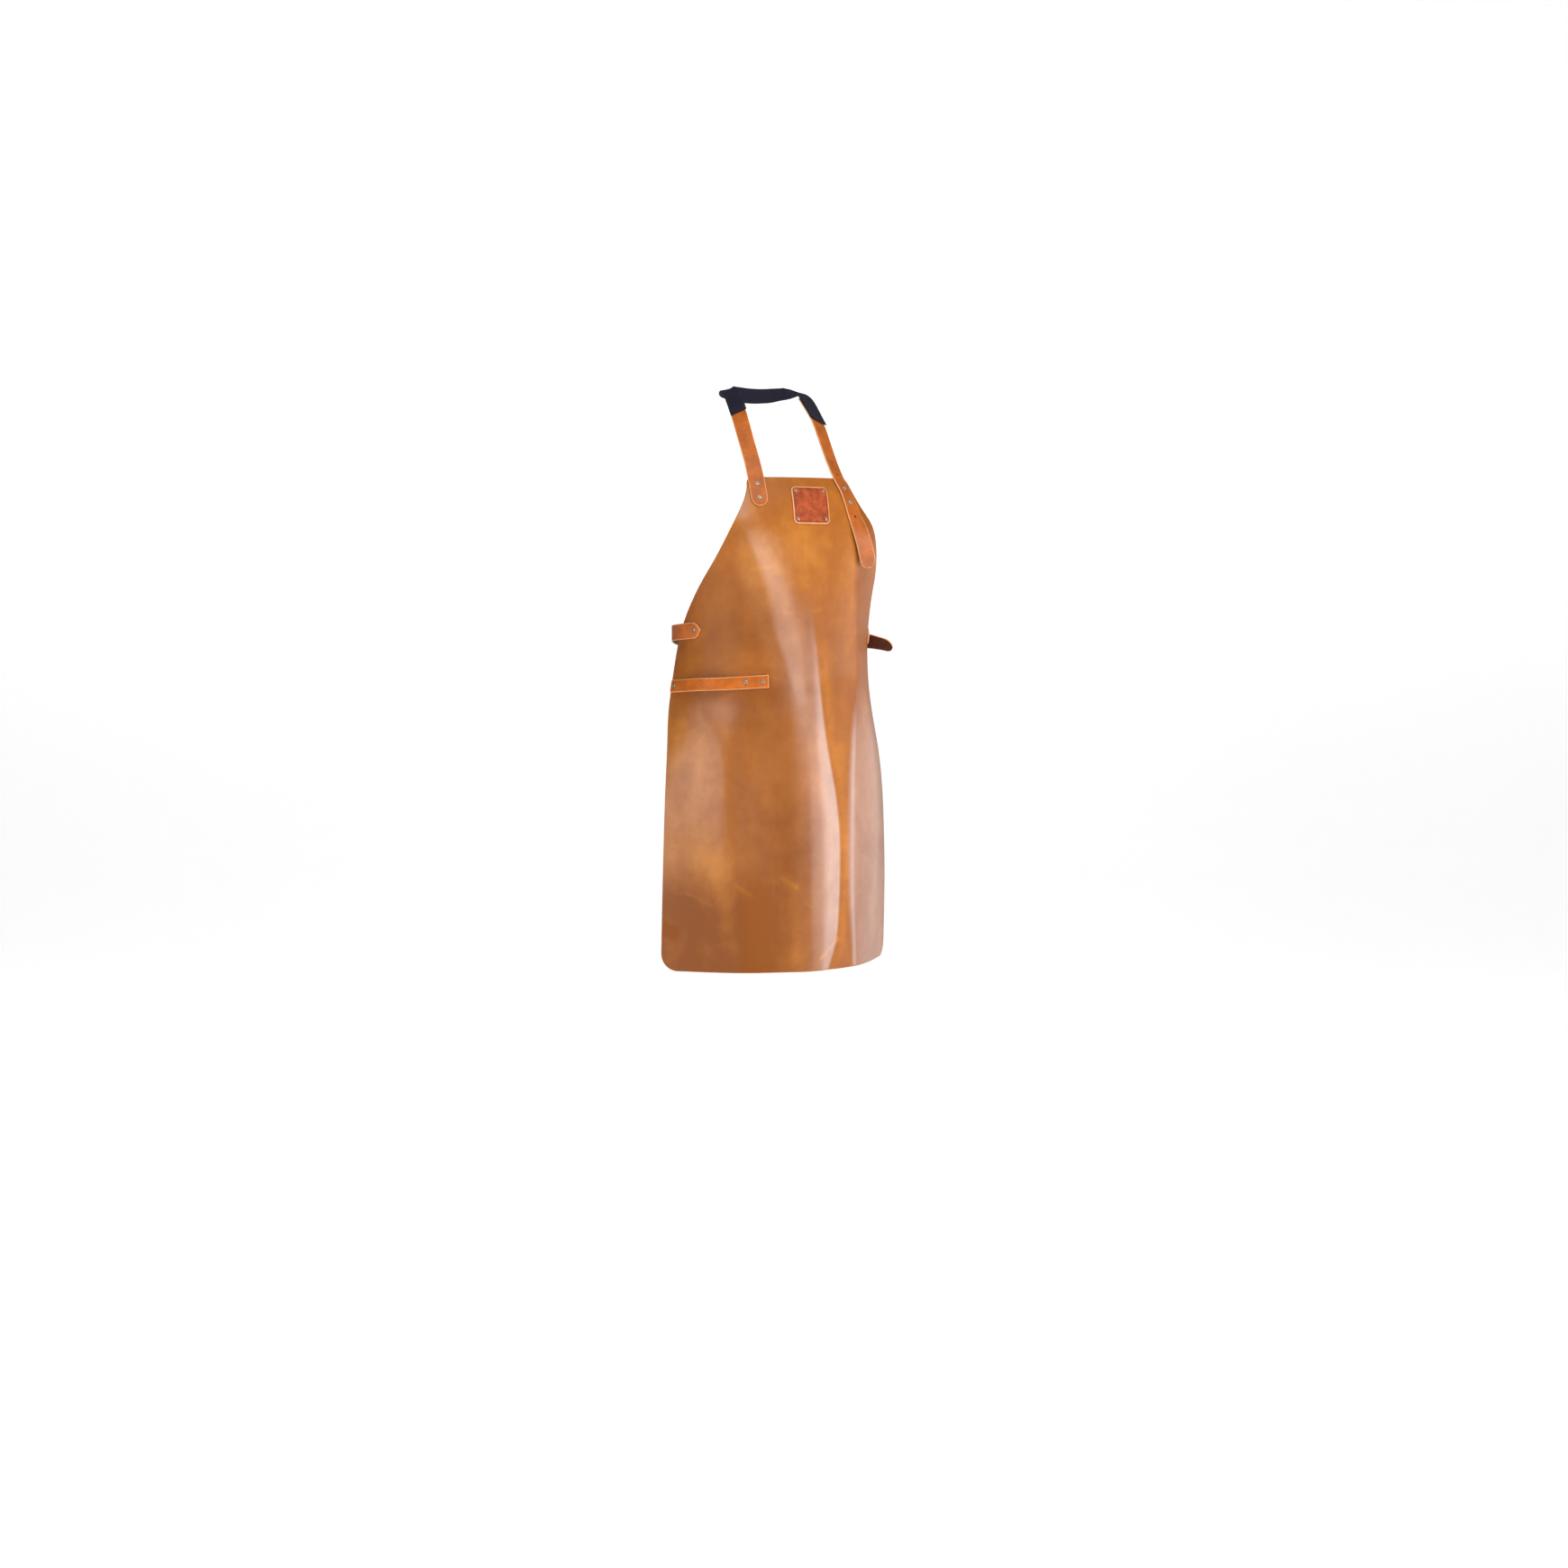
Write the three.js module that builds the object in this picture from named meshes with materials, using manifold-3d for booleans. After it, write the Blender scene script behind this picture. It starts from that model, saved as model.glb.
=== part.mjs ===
// A leather work apron in the shape it has when worn: one cut hide with neck straps, a waist strap,
// a towel loop and a bare patch. Millimetres, +Z up. The wearer faces -Y, and +X is the wearer's left.
// The origin is the nape of the neck, at the middle of the neck band's inner face.
import * as THREE from "three";
import { mergeVertices } from "three/addons/utils/BufferGeometryUtils.js";
import Module from "manifold-3d";

const wasm = await Module();
wasm.setup();

// Driving dimensions: the panel
const BIB_TOP = -144;
const HEM = -978;
const BIB_CORNER = 11;
const HEM_CORNER = 30;
const PANEL_WALL = 2.2;
const PANEL_COLUMNS = 30;
const EDGE_CROWDING = 0.8;
const PANEL_ROW_STEP = 20;
const BIB_CORNER_ROWS = 3;
const HEM_CORNER_ROWS = 4;

// Driving dimensions: straps, patch and hardware
const GAP = 0.3;
const FACET_SAG = 0.6;
const TAB_LIFT = 0.65;
const NECK_LIFT = 0.2;
const LOOP_LIFT = 0.2;
const STRAP_WALL = 2.6;
const NECK_STRAP_WIDTH = 28;
const BAND_WIDTH = 30;
const BAND_WALL = 2.4;
const BAND_SLANT = 6;
const WAIST_STRAP_WIDTH = 27;
const LOOP_WIDTH = 21.5;
const LOOP_BULGE = 12;
const POINT_LENGTH = 15;
const STRAP_STEP = 13;
const END_STEPS = [0.15, 1.2, 3.6, 7.5];
const PATCH = { s: 5, z: -191.5, width: 70, height: 62, corner: 8, tilt: -0.5, wall: 2.2 };
const PATCH_GRID = { columns: 6, rows: 4, cornerRows: 3 };
const PATCH_RIVET_INSET = 7.5;
const RIVET = { head: 4, rise: 1.7, shank: 1.8, washer: 3.8, washerRise: 1.0, sides: 10 };
const SMALL_RIVET = { head: 2.9, rise: 1.3, shank: 1.3, washer: 2.8, washerRise: 0.8, sides: 10 };
const STUD = { head: 3.6, rise: 4.2, shank: 1.8, washer: 3.8, washerRise: 1.0, sides: 10 };
const STRAP_HOLE_RADIUS = 2.1;
const DOME = { radius: 0.82, height: 0.65 };
const HOLE_SIDES = 10;
const DRILL_LENGTH = 16;
const MERGE_DISTANCE = 1e-4;

// How the hide bends round the wearer, a row for each height. front is the Y of the middle of the front.
// The bends are degrees of turn for each 100 mm of leather, at the middle and at BEND_REACH from it.
const BEND_REACH = 250;
const BEND_STEPS = 24;
const BODY = [
  { z: -978, front: -203, frontBend: 30, sideBend: -6 },
  { z: -790, front: -200, frontBend: 26, sideBend: 7 },
  { z: -620, front: -198, frontBend: 25, sideBend: 20 },
  { z: -490, front: -196, frontBend: 27, sideBend: 43 },
  { z: -410, front: -196, frontBend: 26, sideBend: 56 },
  { z: -330, front: -195, frontBend: 21.5, sideBend: 61 },
  { z: -230, front: -188.5, frontBend: 13, sideBend: 50 },
  { z: -190, front: -183.5, frontBend: 18, sideBend: 49 },
  { z: -165, front: -176.5, frontBend: 22, sideBend: 48.5 },
  { z: -144, front: -166.5, frontBend: 26, sideBend: 48 },
];

// The flat cut: half the hide's width at each height, with the armhole between the bib and the waist.
const CUT = [
  { z: -978, half: 268 },
  { z: -700, half: 260 },
  { z: -600, half: 258.5 },
  { z: -520, half: 265 },
  { z: -445, half: 262 },
  { z: -400, half: 244 },
  { z: -344, half: 209 },
  { z: -284, half: 170 },
  { z: -224, half: 138 },
  { z: -190, half: 118 },
  { z: -164, half: 106 },
  { z: -144, half: 101 },
];

// Soft folds: a crest, or a valley where height is below zero. s is the distance along the leather from the
// middle, lean how far s drifts for each mm down. A fold grows from start to full and is gone at end.
const FOLDS = [
  { s: 128, lean: 0.1, start: -165, full: -225, end: -310, width: 40, height: 4.5 },
  { s: -104, lean: 0.36, start: -215, full: -330, end: -560, width: 42, height: 3.0 },
  { s: 10, lean: 0.02, start: -400, full: -760, end: -1700, width: 36, height: 5.5 },
  { s: 62, lean: 0.03, start: -420, full: -760, end: -1700, width: 30, height: -4.5 },
  { s: 128, lean: 0.02, start: -440, full: -760, end: -1700, width: 46, height: 3.5 },
  { s: -78, lean: 0.02, start: -480, full: -780, end: -1700, width: 55, height: -5.0 },
  { s: -190, lean: 0.08, start: -480, full: -700, end: -1700, width: 60, height: 5.5 },
];

// The neck loop's inner face, from the wearer's right side of the bib over the nape to the left side:
// a point on it, and the direction that its outer face looks in.
const NECK_ROUTE = [
  { x: -82.5, y: -136, z: -117, faceX: -0.22, faceY: -0.8, faceZ: 0.56 },
  { x: -81.5, y: -116, z: -85, faceX: -0.2, faceY: -0.6, faceZ: 0.77 },
  { x: -77, y: -81.5, z: -37, faceX: -0.24, faceY: -0.3, faceZ: 0.92 },
  { x: -71, y: -50, z: -7, faceX: -0.2, faceY: -0.15, faceZ: 0.97 },
  { x: -67, y: -28, z: 3, faceX: -0.2, faceY: -0.1, faceZ: 0.97 },
  { x: -57, y: -9, z: 4, faceX: -0.42, faceY: 0.42, faceZ: 0.8 },
  { x: -34, y: -1, z: 2, faceX: -0.2, faceY: 0.75, faceZ: 0.63 },
  { x: 0, y: 0, z: 0, faceX: 0, faceY: 0.8, faceZ: 0.6 },
  { x: 34, y: -1, z: 2, faceX: 0.2, faceY: 0.75, faceZ: 0.63 },
  { x: 57, y: -9, z: 4, faceX: 0.42, faceY: 0.42, faceZ: 0.8 },
  { x: 67, y: -28, z: 3, faceX: 0.2, faceY: -0.1, faceZ: 0.97 },
  { x: 70, y: -50, z: -7, faceX: 0.2, faceY: -0.45, faceZ: 0.87 },
  { x: 72, y: -91, z: -48, faceX: 0.26, faceY: -0.62, faceZ: 0.74 },
  { x: 71, y: -118, z: -85, faceX: 0.26, faceY: -0.71, faceZ: 0.65 },
  { x: 72.5, y: -137, z: -117, faceX: 0.28, faceY: -0.79, faceZ: 0.54 },
];
const BAND_FIRST_ROW = 2;
const BAND_LAST_ROW = NECK_ROUTE.length - 3;
const NAPE_ROW = 7;
const BAND_NAPE_SHARE = 0.2;
const BAND_RISE_SHARE = 0.4;

// Where the neck straps lie on the bib, from its top edge down. lift and twist raise the free tail.
const FIXED_LAY = [
  { s: -85.5, z: -146, lift: NECK_LIFT, twist: 0 },
  { s: -86.5, z: -156, lift: NECK_LIFT, twist: 0 },
  { s: -87, z: -165, lift: NECK_LIFT, twist: 0 },
  { s: -87.5, z: -180, lift: NECK_LIFT, twist: 0 },
  { s: -87.5, z: -193.5, lift: NECK_LIFT, twist: 0 },
];
const ADJUST_LAY = [
  { s: 77.5, z: -146, lift: NECK_LIFT, twist: 0 },
  { s: 83.5, z: -162, lift: NECK_LIFT, twist: 0 },
  { s: 87.6, z: -176, lift: NECK_LIFT, twist: 0 },
  { s: 89.9, z: -186, lift: NECK_LIFT, twist: 0 },
  { s: 94, z: -206, lift: 0.8, twist: -2 },
  { s: 101, z: -232, lift: 4.5, twist: -12 },
  { s: 110, z: -262, lift: 9, twist: -24 },
  { s: 120, z: -294, lift: 12, twist: -32 },
];
const FIXED_RIVETS = [
  { s: -86.5, z: -157 },
  { s: -87.5, z: -180 },
];
const ADJUST_STUDS = [
  { s: 83.5, z: -162 },
  { s: 89.7, z: -185 },
];
const ADJUST_HOLE_PITCH = 26;
const ADJUST_OPEN_HOLES = [-2, -1, 2];

// The waist strap's ring behind the panel's edges: an ellipse in plan, lower at the back.
const RING = { halfWidth: 179.6, middle: -60, back: 68, zRight: -405, zBack: -430, zLeft: -421 };
const WAIST_TIP = { s: -196, z: -400 };
const WAIST_RIVET_S = -210;
const WAIST_EDGE = { s: -244, z: -404 };
const SIDE_TIP = { s: 196, z: -412 };
const SIDE_RIVET_S = 210;
const SIDE_EDGE = { s: 246, z: -418.5 };
const RING_START = 0.1;
const RING_KNOTS = 14;
const TAB_KNOTS = 6;
const SIDE_TAB_ANGLE = 0.62;
const STUD_ANGLE = 0.4;
const TAIL_ANGLE = 0.28;
const TAIL_LIFT = 0.9;
const CLIMB_START = 0.6;
const CLIMB_CLEARANCE = 0.12;
const TAIL_ROUTE = [
  { x: 186.5, y: -54, z: -422.5, faceX: 0.98, faceY: 0.15, faceZ: 0.12 },
  { x: 193, y: -76, z: -425, faceX: 0.9, faceY: 0.3, faceZ: 0.4 },
  { x: 203, y: -95, z: -429, faceX: 0.78, faceY: 0.34, faceZ: 0.55 },
  { x: 213, y: -111, z: -434, faceX: 0.7, faceY: 0.36, faceZ: 0.62 },
];

// The towel loop on the wearer's right hip, from the panel's edge to its square end
const LOOP_START = { s: -263, z: -497 };
const LOOP_END = { s: -78, z: -486 };
const LOOP_RIVETS = [-254, -116, -88];
const LOOP_FLAT = 8;
const LOOP_KNOTS = 26;

// Finishes
const HIDE = finish(0xa8622c, 0.42, 0);
const STRAP_LEATHER = finish(0xb85f28, 0.45, 0);
const PATCH_LEATHER = finish(0x9c452a, 0.5, 0);
const BAND_CLOTH = finish(0x24232f, 0.9, 0);
const METAL = finish(0x8f8778, 0.35, 0.9);

function finish(color, roughness, metalness) {
  return new THREE.MeshStandardMaterial({ color, roughness, metalness });
}

function smooth(value) {
  const t = THREE.MathUtils.clamp(value, 0, 1);
  return t * t * (3 - 2 * t);
}

// A table's column at a height: a cubic through its rows, whose slope at a row is that of its neighbours
function column(table, key, z) {
  const last = table.length - 2;
  let k = 0;
  while (k < last && z > table[k + 1].z) {
    k += 1;
  }
  const [a, b] = [table[k], table[k + 1]];
  const before = table[Math.max(k - 1, 0)];
  const after = table[Math.min(k + 2, table.length - 1)];
  const span = b.z - a.z;
  const t = THREE.MathUtils.clamp((z - a.z) / span, 0, 1);
  const slopeA = ((b[key] - before[key]) / (b.z - before.z)) * span;
  const slopeB = ((after[key] - a[key]) / (after.z - a.z)) * span;
  const keep = (1 + 2 * t) * (1 - t) * (1 - t);
  const toB = t * t * (3 - 2 * t);
  return a[key] * keep + b[key] * toB + slopeA * t * (1 - t) * (1 - t) + slopeB * t * t * (t - 1);
}

// Height of all the soft folds at a place on the hide
function foldHeight(s, z) {
  let height = 0;
  for (const fold of FOLDS) {
    const crest = fold.s + fold.lean * (fold.start - z);
    const across = (s - crest) / fold.width;
    const grown = smooth((fold.start - z) / (fold.start - fold.full));
    const gone = smooth((fold.full - z) / (fold.full - fold.end));
    height += fold.height * Math.exp(-across * across) * grown * (1 - gone);
  }
  return height;
}

// A place on the hide's outer face: s along the leather from the middle, z the height. The leather's turn
// grows with s, and its plan is the sum of small steps in the direction of that turn.
function hidePoint(s, z) {
  const steps = BEND_STEPS;
  const perMm = THREE.MathUtils.DEG2RAD / 100;
  const frontBend = column(BODY, "frontBend", z) * perMm;
  const sideBend = column(BODY, "sideBend", z) * perMm;
  const turnAt = (d) => frontBend * d + ((sideBend - frontBend) * d ** 3) / (3 * BEND_REACH ** 2);
  const step = s / steps;
  let x = 0;
  let y = column(BODY, "front", z);
  for (let k = 0; k < steps; k += 1) {
    const turn = turnAt((k + 0.5) * step);
    x += Math.cos(turn) * step;
    y += Math.sin(turn) * step;
  }
  const turn = turnAt(s);
  const fold = foldHeight(s, z);
  return new THREE.Vector3(x + Math.sin(turn) * fold, y - Math.cos(turn) * fold, z);
}

// The outward direction of the hide at a place on it
function hideNormal(s, z) {
  const reach = 0.5;
  const along = hidePoint(s + reach, z).sub(hidePoint(s - reach, z));
  const up = hidePoint(s, z + reach).sub(hidePoint(s, z - reach));
  return along.cross(up).normalize();
}

// A place at a height above the hide's outer face, with the direction that the hide looks in there
function onHide(s, z, lift) {
  const normal = hideNormal(s, z);
  return { point: hidePoint(s, z).addScaledVector(normal, lift), normal };
}

// What a round corner takes off the half width, at a distance from the edge that it rounds
function cornerLoss(distance, radius) {
  const inside = THREE.MathUtils.clamp(radius - distance, 0, radius);
  return radius - Math.sqrt(radius * radius - inside * inside);
}

// Distances from an edge that step evenly round a corner
function cornerSteps(radius, count) {
  return Array.from({ length: count }, (_, k) => radius * (1 - Math.cos((k / count) * (Math.PI / 2))));
}

// Evenly spaced values from first to last, both included
function spread(first, last, count) {
  return Array.from({ length: count + 1 }, (_, k) => first + ((last - first) * k) / count);
}

function geometryFrom(points, triangles) {
  const geometry = new THREE.BufferGeometry();
  const positions = points.flatMap((p) => [p.x, p.y, p.z]);
  geometry.setAttribute("position", new THREE.Float32BufferAttribute(positions, 3));
  geometry.setIndex(triangles);
  return geometry;
}

// A closed sheet on a grid. place(u, v, face) gives a point of the outer face, 0, or the inner face, 1.
// u runs to the wearer's left and v runs down.
function sheet(us, vs, place) {
  const points = [];
  for (const face of [0, 1]) {
    for (const v of vs) {
      for (const u of us) {
        points.push(place(u, v, face));
      }
    }
  }
  const [wide, tall] = [us.length, vs.length];
  const at = (face, j, i) => face * wide * tall + j * wide + i;
  const triangles = [];
  const quad = (a, b, c, d) => triangles.push(a, b, c, a, c, d);
  for (let j = 0; j + 1 < tall; j += 1) {
    for (let i = 0; i + 1 < wide; i += 1) {
      quad(at(0, j, i), at(0, j + 1, i), at(0, j + 1, i + 1), at(0, j, i + 1));
      quad(at(1, j, i), at(1, j, i + 1), at(1, j + 1, i + 1), at(1, j + 1, i));
    }
    quad(at(1, j, 0), at(1, j + 1, 0), at(0, j + 1, 0), at(0, j, 0));
    quad(at(0, j, wide - 1), at(0, j + 1, wide - 1), at(1, j + 1, wide - 1), at(1, j, wide - 1));
  }
  for (let i = 0; i + 1 < wide; i += 1) {
    quad(at(1, 0, i), at(0, 0, i), at(0, 0, i + 1), at(1, 0, i + 1));
    quad(at(0, tall - 1, i), at(1, tall - 1, i), at(1, tall - 1, i + 1), at(0, tall - 1, i + 1));
  }
  return geometryFrom(points, triangles);
}

// A solid for joining and cutting, from a geometry whose equal points are merged
function solidOf(geometry) {
  const bare = geometry.clone();
  bare.deleteAttribute("normal");
  bare.deleteAttribute("uv");
  const merged = mergeVertices(bare, MERGE_DISTANCE);
  const vertProperties = new Float32Array(merged.attributes.position.array);
  const triVerts = new Uint32Array(merged.index.array);
  return new wasm.Manifold(new wasm.Mesh({ numProp: 3, vertProperties, triVerts }));
}

function geometryOf(solid) {
  const mesh = solid.getMesh();
  const geometry = new THREE.BufferGeometry();
  geometry.setAttribute("position", new THREE.BufferAttribute(new Float32Array(mesh.vertProperties), 3));
  geometry.setIndex(new THREE.BufferAttribute(new Uint32Array(mesh.triVerts), 1));
  return geometry;
}

// Turns a shape made about the Y axis so that the axis looks along a direction, at a place
function placedAlong(geometry, place) {
  const turn = new THREE.Quaternion().setFromUnitVectors(new THREE.Vector3(0, 1, 0), place.normal);
  geometry.applyQuaternion(turn);
  geometry.translate(place.point.x, place.point.y, place.point.z);
  return geometry;
}

// A geometry with round holes cut through it
function punched(geometry, places, radius) {
  let solid = solidOf(geometry);
  for (const place of places) {
    const drill = placedAlong(new THREE.CylinderGeometry(radius, radius, DRILL_LENGTH, HOLE_SIDES), place);
    solid = solid.subtract(solidOf(drill));
  }
  return geometryOf(solid);
}

// A rivet or stud through a stack of leather, as one turned body: its head stands on place, and its
// washer lies under the stack.
function fastener(shape, place, stack) {
  const under = -stack - GAP - FACET_SAG;
  const profile = [
    [0, under - shape.washerRise],
    [shape.washer, under - shape.washerRise],
    [shape.washer, under],
    [shape.shank, under],
    [shape.shank, GAP],
    [shape.head, GAP],
    [shape.head * DOME.radius, GAP + shape.rise * DOME.height],
    [0, GAP + shape.rise],
  ];
  const points = profile.map(([radius, height]) => new THREE.Vector2(radius, height));
  return placedAlong(new THREE.LatheGeometry(points, shape.sides), place);
}

// How much of a strap's half width is left near a square, round or pointed end
function endShare(kind, distance, half) {
  if (kind === "round") {
    const t = Math.min(distance / half, 1);
    return Math.sqrt(1 - (1 - t) ** 2);
  }
  if (kind === "point") {
    const t = Math.min(distance / POINT_LENGTH, 1);
    return 1 - (1 - t) ** 2;
  }
  return 1;
}

// A strap's route: a smooth curve through the knots, cut into short steps whose lengths are added up
function routeOf(knots) {
  const curve = new THREE.CatmullRomCurve3(knots.map((knot) => knot.point));
  const stepsPerKnot = 12;
  const steps = (knots.length - 1) * stepsPerKnot;
  const route = [];
  let length = 0;
  for (let k = 0; k <= steps; k += 1) {
    const low = Math.min(Math.floor(k / stepsPerKnot), knots.length - 2);
    const share = k / stepsPerKnot - low;
    const point = curve.getPoint(k / steps);
    const normal = knots[low].normal.clone().lerp(knots[low + 1].normal, share).normalize();
    if (k > 0) {
      length += point.distanceTo(route[k - 1].point);
    }
    route.push({ point, normal, length });
  }
  return route;
}

// The place on a route at a length along it
function alongRoute(route, length) {
  let k = 0;
  while (k < route.length - 2 && route[k + 1].length < length) {
    k += 1;
  }
  const [a, b] = [route[k], route[k + 1]];
  const share = (length - a.length) / (b.length - a.length);
  const point = a.point.clone().lerp(b.point, share);
  const normal = a.normal.clone().lerp(b.normal, share).normalize();
  return { point, normal, tangent: b.point.clone().sub(a.point).normalize() };
}

function routeLength(route) {
  return route[route.length - 1].length;
}

// A flat strap along a route, its inner face on the route, as one closed body with shaped ends. slant is
// how far each end is cut back along one edge and forward along the other.
function strap(route, width, wall, startEnd, finishEnd, slant = 0) {
  const half = width / 2;
  const total = routeLength(route);
  const steps = Math.round((total - 2 * half) / STRAP_STEP);
  const middle = spread(half, total - half, steps);
  const lengths = [...END_STEPS, ...middle, ...END_STEPS.map((length) => total - length).reverse()];
  const points = [];
  for (const length of lengths) {
    const { point, normal, tangent } = alongRoute(route, length);
    const side = tangent.clone().cross(normal).normalize();
    const out = side.clone().cross(tangent).normalize();
    const share = endShare(startEnd, length, half) * endShare(finishEnd, total - length, half);
    const reach = half * share;
    const cut = slant * (Math.max(0, 1 - length / width) - Math.max(0, 1 - (total - length) / width));
    for (const [across, up] of [[-1, 1], [1, 1], [1, 0], [-1, 0]]) {
      const corner = point.clone().addScaledVector(side, across * reach).addScaledVector(out, up * wall);
      points.push(corner.addScaledVector(tangent, across * cut));
    }
  }
  const triangles = [0, 2, 1, 0, 3, 2];
  for (let k = 0; k + 1 < lengths.length; k += 1) {
    for (let edge = 0; edge < 4; edge += 1) {
      const a = k * 4 + edge;
      const b = k * 4 + ((edge + 1) % 4);
      triangles.push(a, b, b + 4, a, b + 4, a + 4);
    }
  }
  const end = (lengths.length - 1) * 4;
  triangles.push(end, end + 1, end + 2, end, end + 2, end + 3);
  return geometryFrom(points, triangles);
}

function rowPlace(row) {
  const point = new THREE.Vector3(row.x, row.y, row.z);
  const normal = new THREE.Vector3(row.faceX, row.faceY, row.faceZ).normalize();
  return { point, normal };
}

// A knot of a strap that lies on the hide, raised and turned about the upright where it hangs free
function layPlace(row) {
  const place = onHide(row.s, row.z, GAP + row.lift);
  place.normal.applyAxisAngle(new THREE.Vector3(0, 0, 1), row.twist * THREE.MathUtils.DEG2RAD);
  return place;
}

// A place on the waist ring: angle 0 at the panel's edge on the wearer's right, PI at the left one
function ringPlace(angle, lift) {
  const depth = RING.back - RING.middle;
  const half = Math.PI / 2;
  const dip = angle < half ? smooth(angle / half) : smooth((Math.PI - angle) / half);
  const end = angle < half ? RING.zRight : RING.zLeft;
  const z = end + (RING.zBack - end) * dip;
  const normal = new THREE.Vector3(-Math.cos(angle) * depth, Math.sin(angle) * RING.halfWidth, 0).normalize();
  const x = -RING.halfWidth * Math.cos(angle);
  const y = RING.middle + depth * Math.sin(angle);
  const point = new THREE.Vector3(x, y, z).addScaledVector(normal, GAP + lift);
  return { point, normal };
}

// Knots of a tab or strap on the hide, from its tip to the panel's edge
function tipToEdge(tip, edge, count) {
  const ss = spread(tip.s, edge.s, count);
  const zs = spread(tip.z, edge.z, count);
  return ss.map((s, k) => onHide(s, zs[k], GAP + TAB_LIFT));
}

// Where a strap that lies on the hide between a tip and the edge passes a distance along the leather
function tipHeight(tip, edge, s) {
  return tip.z + ((edge.z - tip.z) * (s - tip.s)) / (edge.s - tip.s);
}

function raised(place, height) {
  return { point: place.point.clone().addScaledVector(place.normal, height), normal: place.normal };
}

const apron = new THREE.Group();

function addPiece(name, geometry, material) {
  const mesh = new THREE.Mesh(geometry, material);
  mesh.name = name;
  apron.add(mesh);
}

// Puts a fastener through a piece of leather that lies on the hide, its top at a height above the hide
function addFastener(name, shape, spot, top) {
  addPiece(name, fastener(shape, onHide(spot.s, spot.z, top), PANEL_WALL + top), METAL);
}

const RIVET_HOLE = RIVET.shank + GAP;
const SMALL_HOLE = SMALL_RIVET.shank + GAP;
const NECK_TOP = GAP + NECK_LIFT + STRAP_WALL;

// A place on the patch from its middle, turned with the patch
function patchSpot(across, up) {
  const tilt = PATCH.tilt * THREE.MathUtils.DEG2RAD;
  const s = PATCH.s + across * Math.cos(tilt) - up * Math.sin(tilt);
  const z = PATCH.z + across * Math.sin(tilt) + up * Math.cos(tilt);
  return { s, z };
}

const patchRivets = [[-1, 1], [1, 1], [-1, -1], [1, -1]].map(([across, up]) =>
  patchSpot(across * (PATCH.width / 2 - PATCH_RIVET_INSET), up * (PATCH.height / 2 - PATCH_RIVET_INSET)));

const waistRivet = { s: WAIST_RIVET_S, z: tipHeight(WAIST_TIP, WAIST_EDGE, WAIST_RIVET_S) };
const sideRivet = { s: SIDE_RIVET_S, z: tipHeight(SIDE_TIP, SIDE_EDGE, SIDE_RIVET_S) };
const towelRivets = LOOP_RIVETS.map((s) => ({ s, z: tipHeight(LOOP_START, LOOP_END, s) }));

const spotHole = (spot) => onHide(spot.s, spot.z, 0);

function makePanel() {
  const half = (z) =>
    column(CUT, "half", z) - cornerLoss(BIB_TOP - z, BIB_CORNER) - cornerLoss(z - HEM, HEM_CORNER);
  const top = BIB_TOP - BIB_CORNER;
  const bottom = HEM + HEM_CORNER;
  const rows = Math.round((top - bottom) / PANEL_ROW_STEP);
  const zs = [
    ...cornerSteps(BIB_CORNER, BIB_CORNER_ROWS).map((step) => BIB_TOP - step),
    ...spread(top, bottom, rows),
    ...cornerSteps(HEM_CORNER, HEM_CORNER_ROWS).map((step) => HEM + step).reverse(),
  ];
  const crowd = (u) => Math.sin(u * EDGE_CROWDING) / Math.sin(EDGE_CROWDING);
  const us = spread(-1, 1, PANEL_COLUMNS).map(crowd);
  const panel = sheet(us, zs, (u, z, face) => onHide(u * half(z), z, -face * PANEL_WALL).point);
  const bigSpots = [...FIXED_RIVETS, ...ADJUST_STUDS, waistRivet, sideRivet, ...towelRivets];
  const bored = punched(panel, bigSpots.map(spotHole), RIVET_HOLE);
  addPiece("apron_panel", punched(bored, patchRivets.map(spotHole), SMALL_HOLE), HIDE);
}

function makePatch() {
  const { width, height, corner, wall } = PATCH;
  const reach = height / 2;
  const half = (up) => width / 2 - cornerLoss(reach - Math.abs(up), corner);
  const steps = cornerSteps(corner, PATCH_GRID.cornerRows).map((step) => reach - step);
  const middle = spread(reach - corner, corner - reach, PATCH_GRID.rows);
  const ups = [...steps, ...middle, ...steps.map((up) => -up).reverse()];
  const patch = sheet(spread(-1, 1, PATCH_GRID.columns), ups, (u, up, face) => {
    const spot = patchSpot(u * half(up), up);
    return onHide(spot.s, spot.z, GAP + (1 - face) * wall).point;
  });
  addPiece("bib_patch", punched(patch, patchRivets.map(spotHole), SMALL_HOLE), PATCH_LEATHER);
  patchRivets.forEach((spot, k) => addFastener(`patch_rivet_${k + 1}`, SMALL_RIVET, spot, GAP + wall));
}

function makeFixedStrap() {
  const knots = [
    ...FIXED_LAY.map(layPlace).reverse(),
    ...NECK_ROUTE.slice(0, BAND_FIRST_ROW + 2).map(rowPlace),
  ];
  const strapBody = strap(routeOf(knots), NECK_STRAP_WIDTH, STRAP_WALL, "round", "square");
  addPiece("neck_strap_fixed", punched(strapBody, FIXED_RIVETS.map(spotHole), RIVET_HOLE), STRAP_LEATHER);
  FIXED_RIVETS.forEach((spot, k) => addFastener(`neck_rivet_${k + 1}`, RIVET, spot, NECK_TOP));
}

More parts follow.
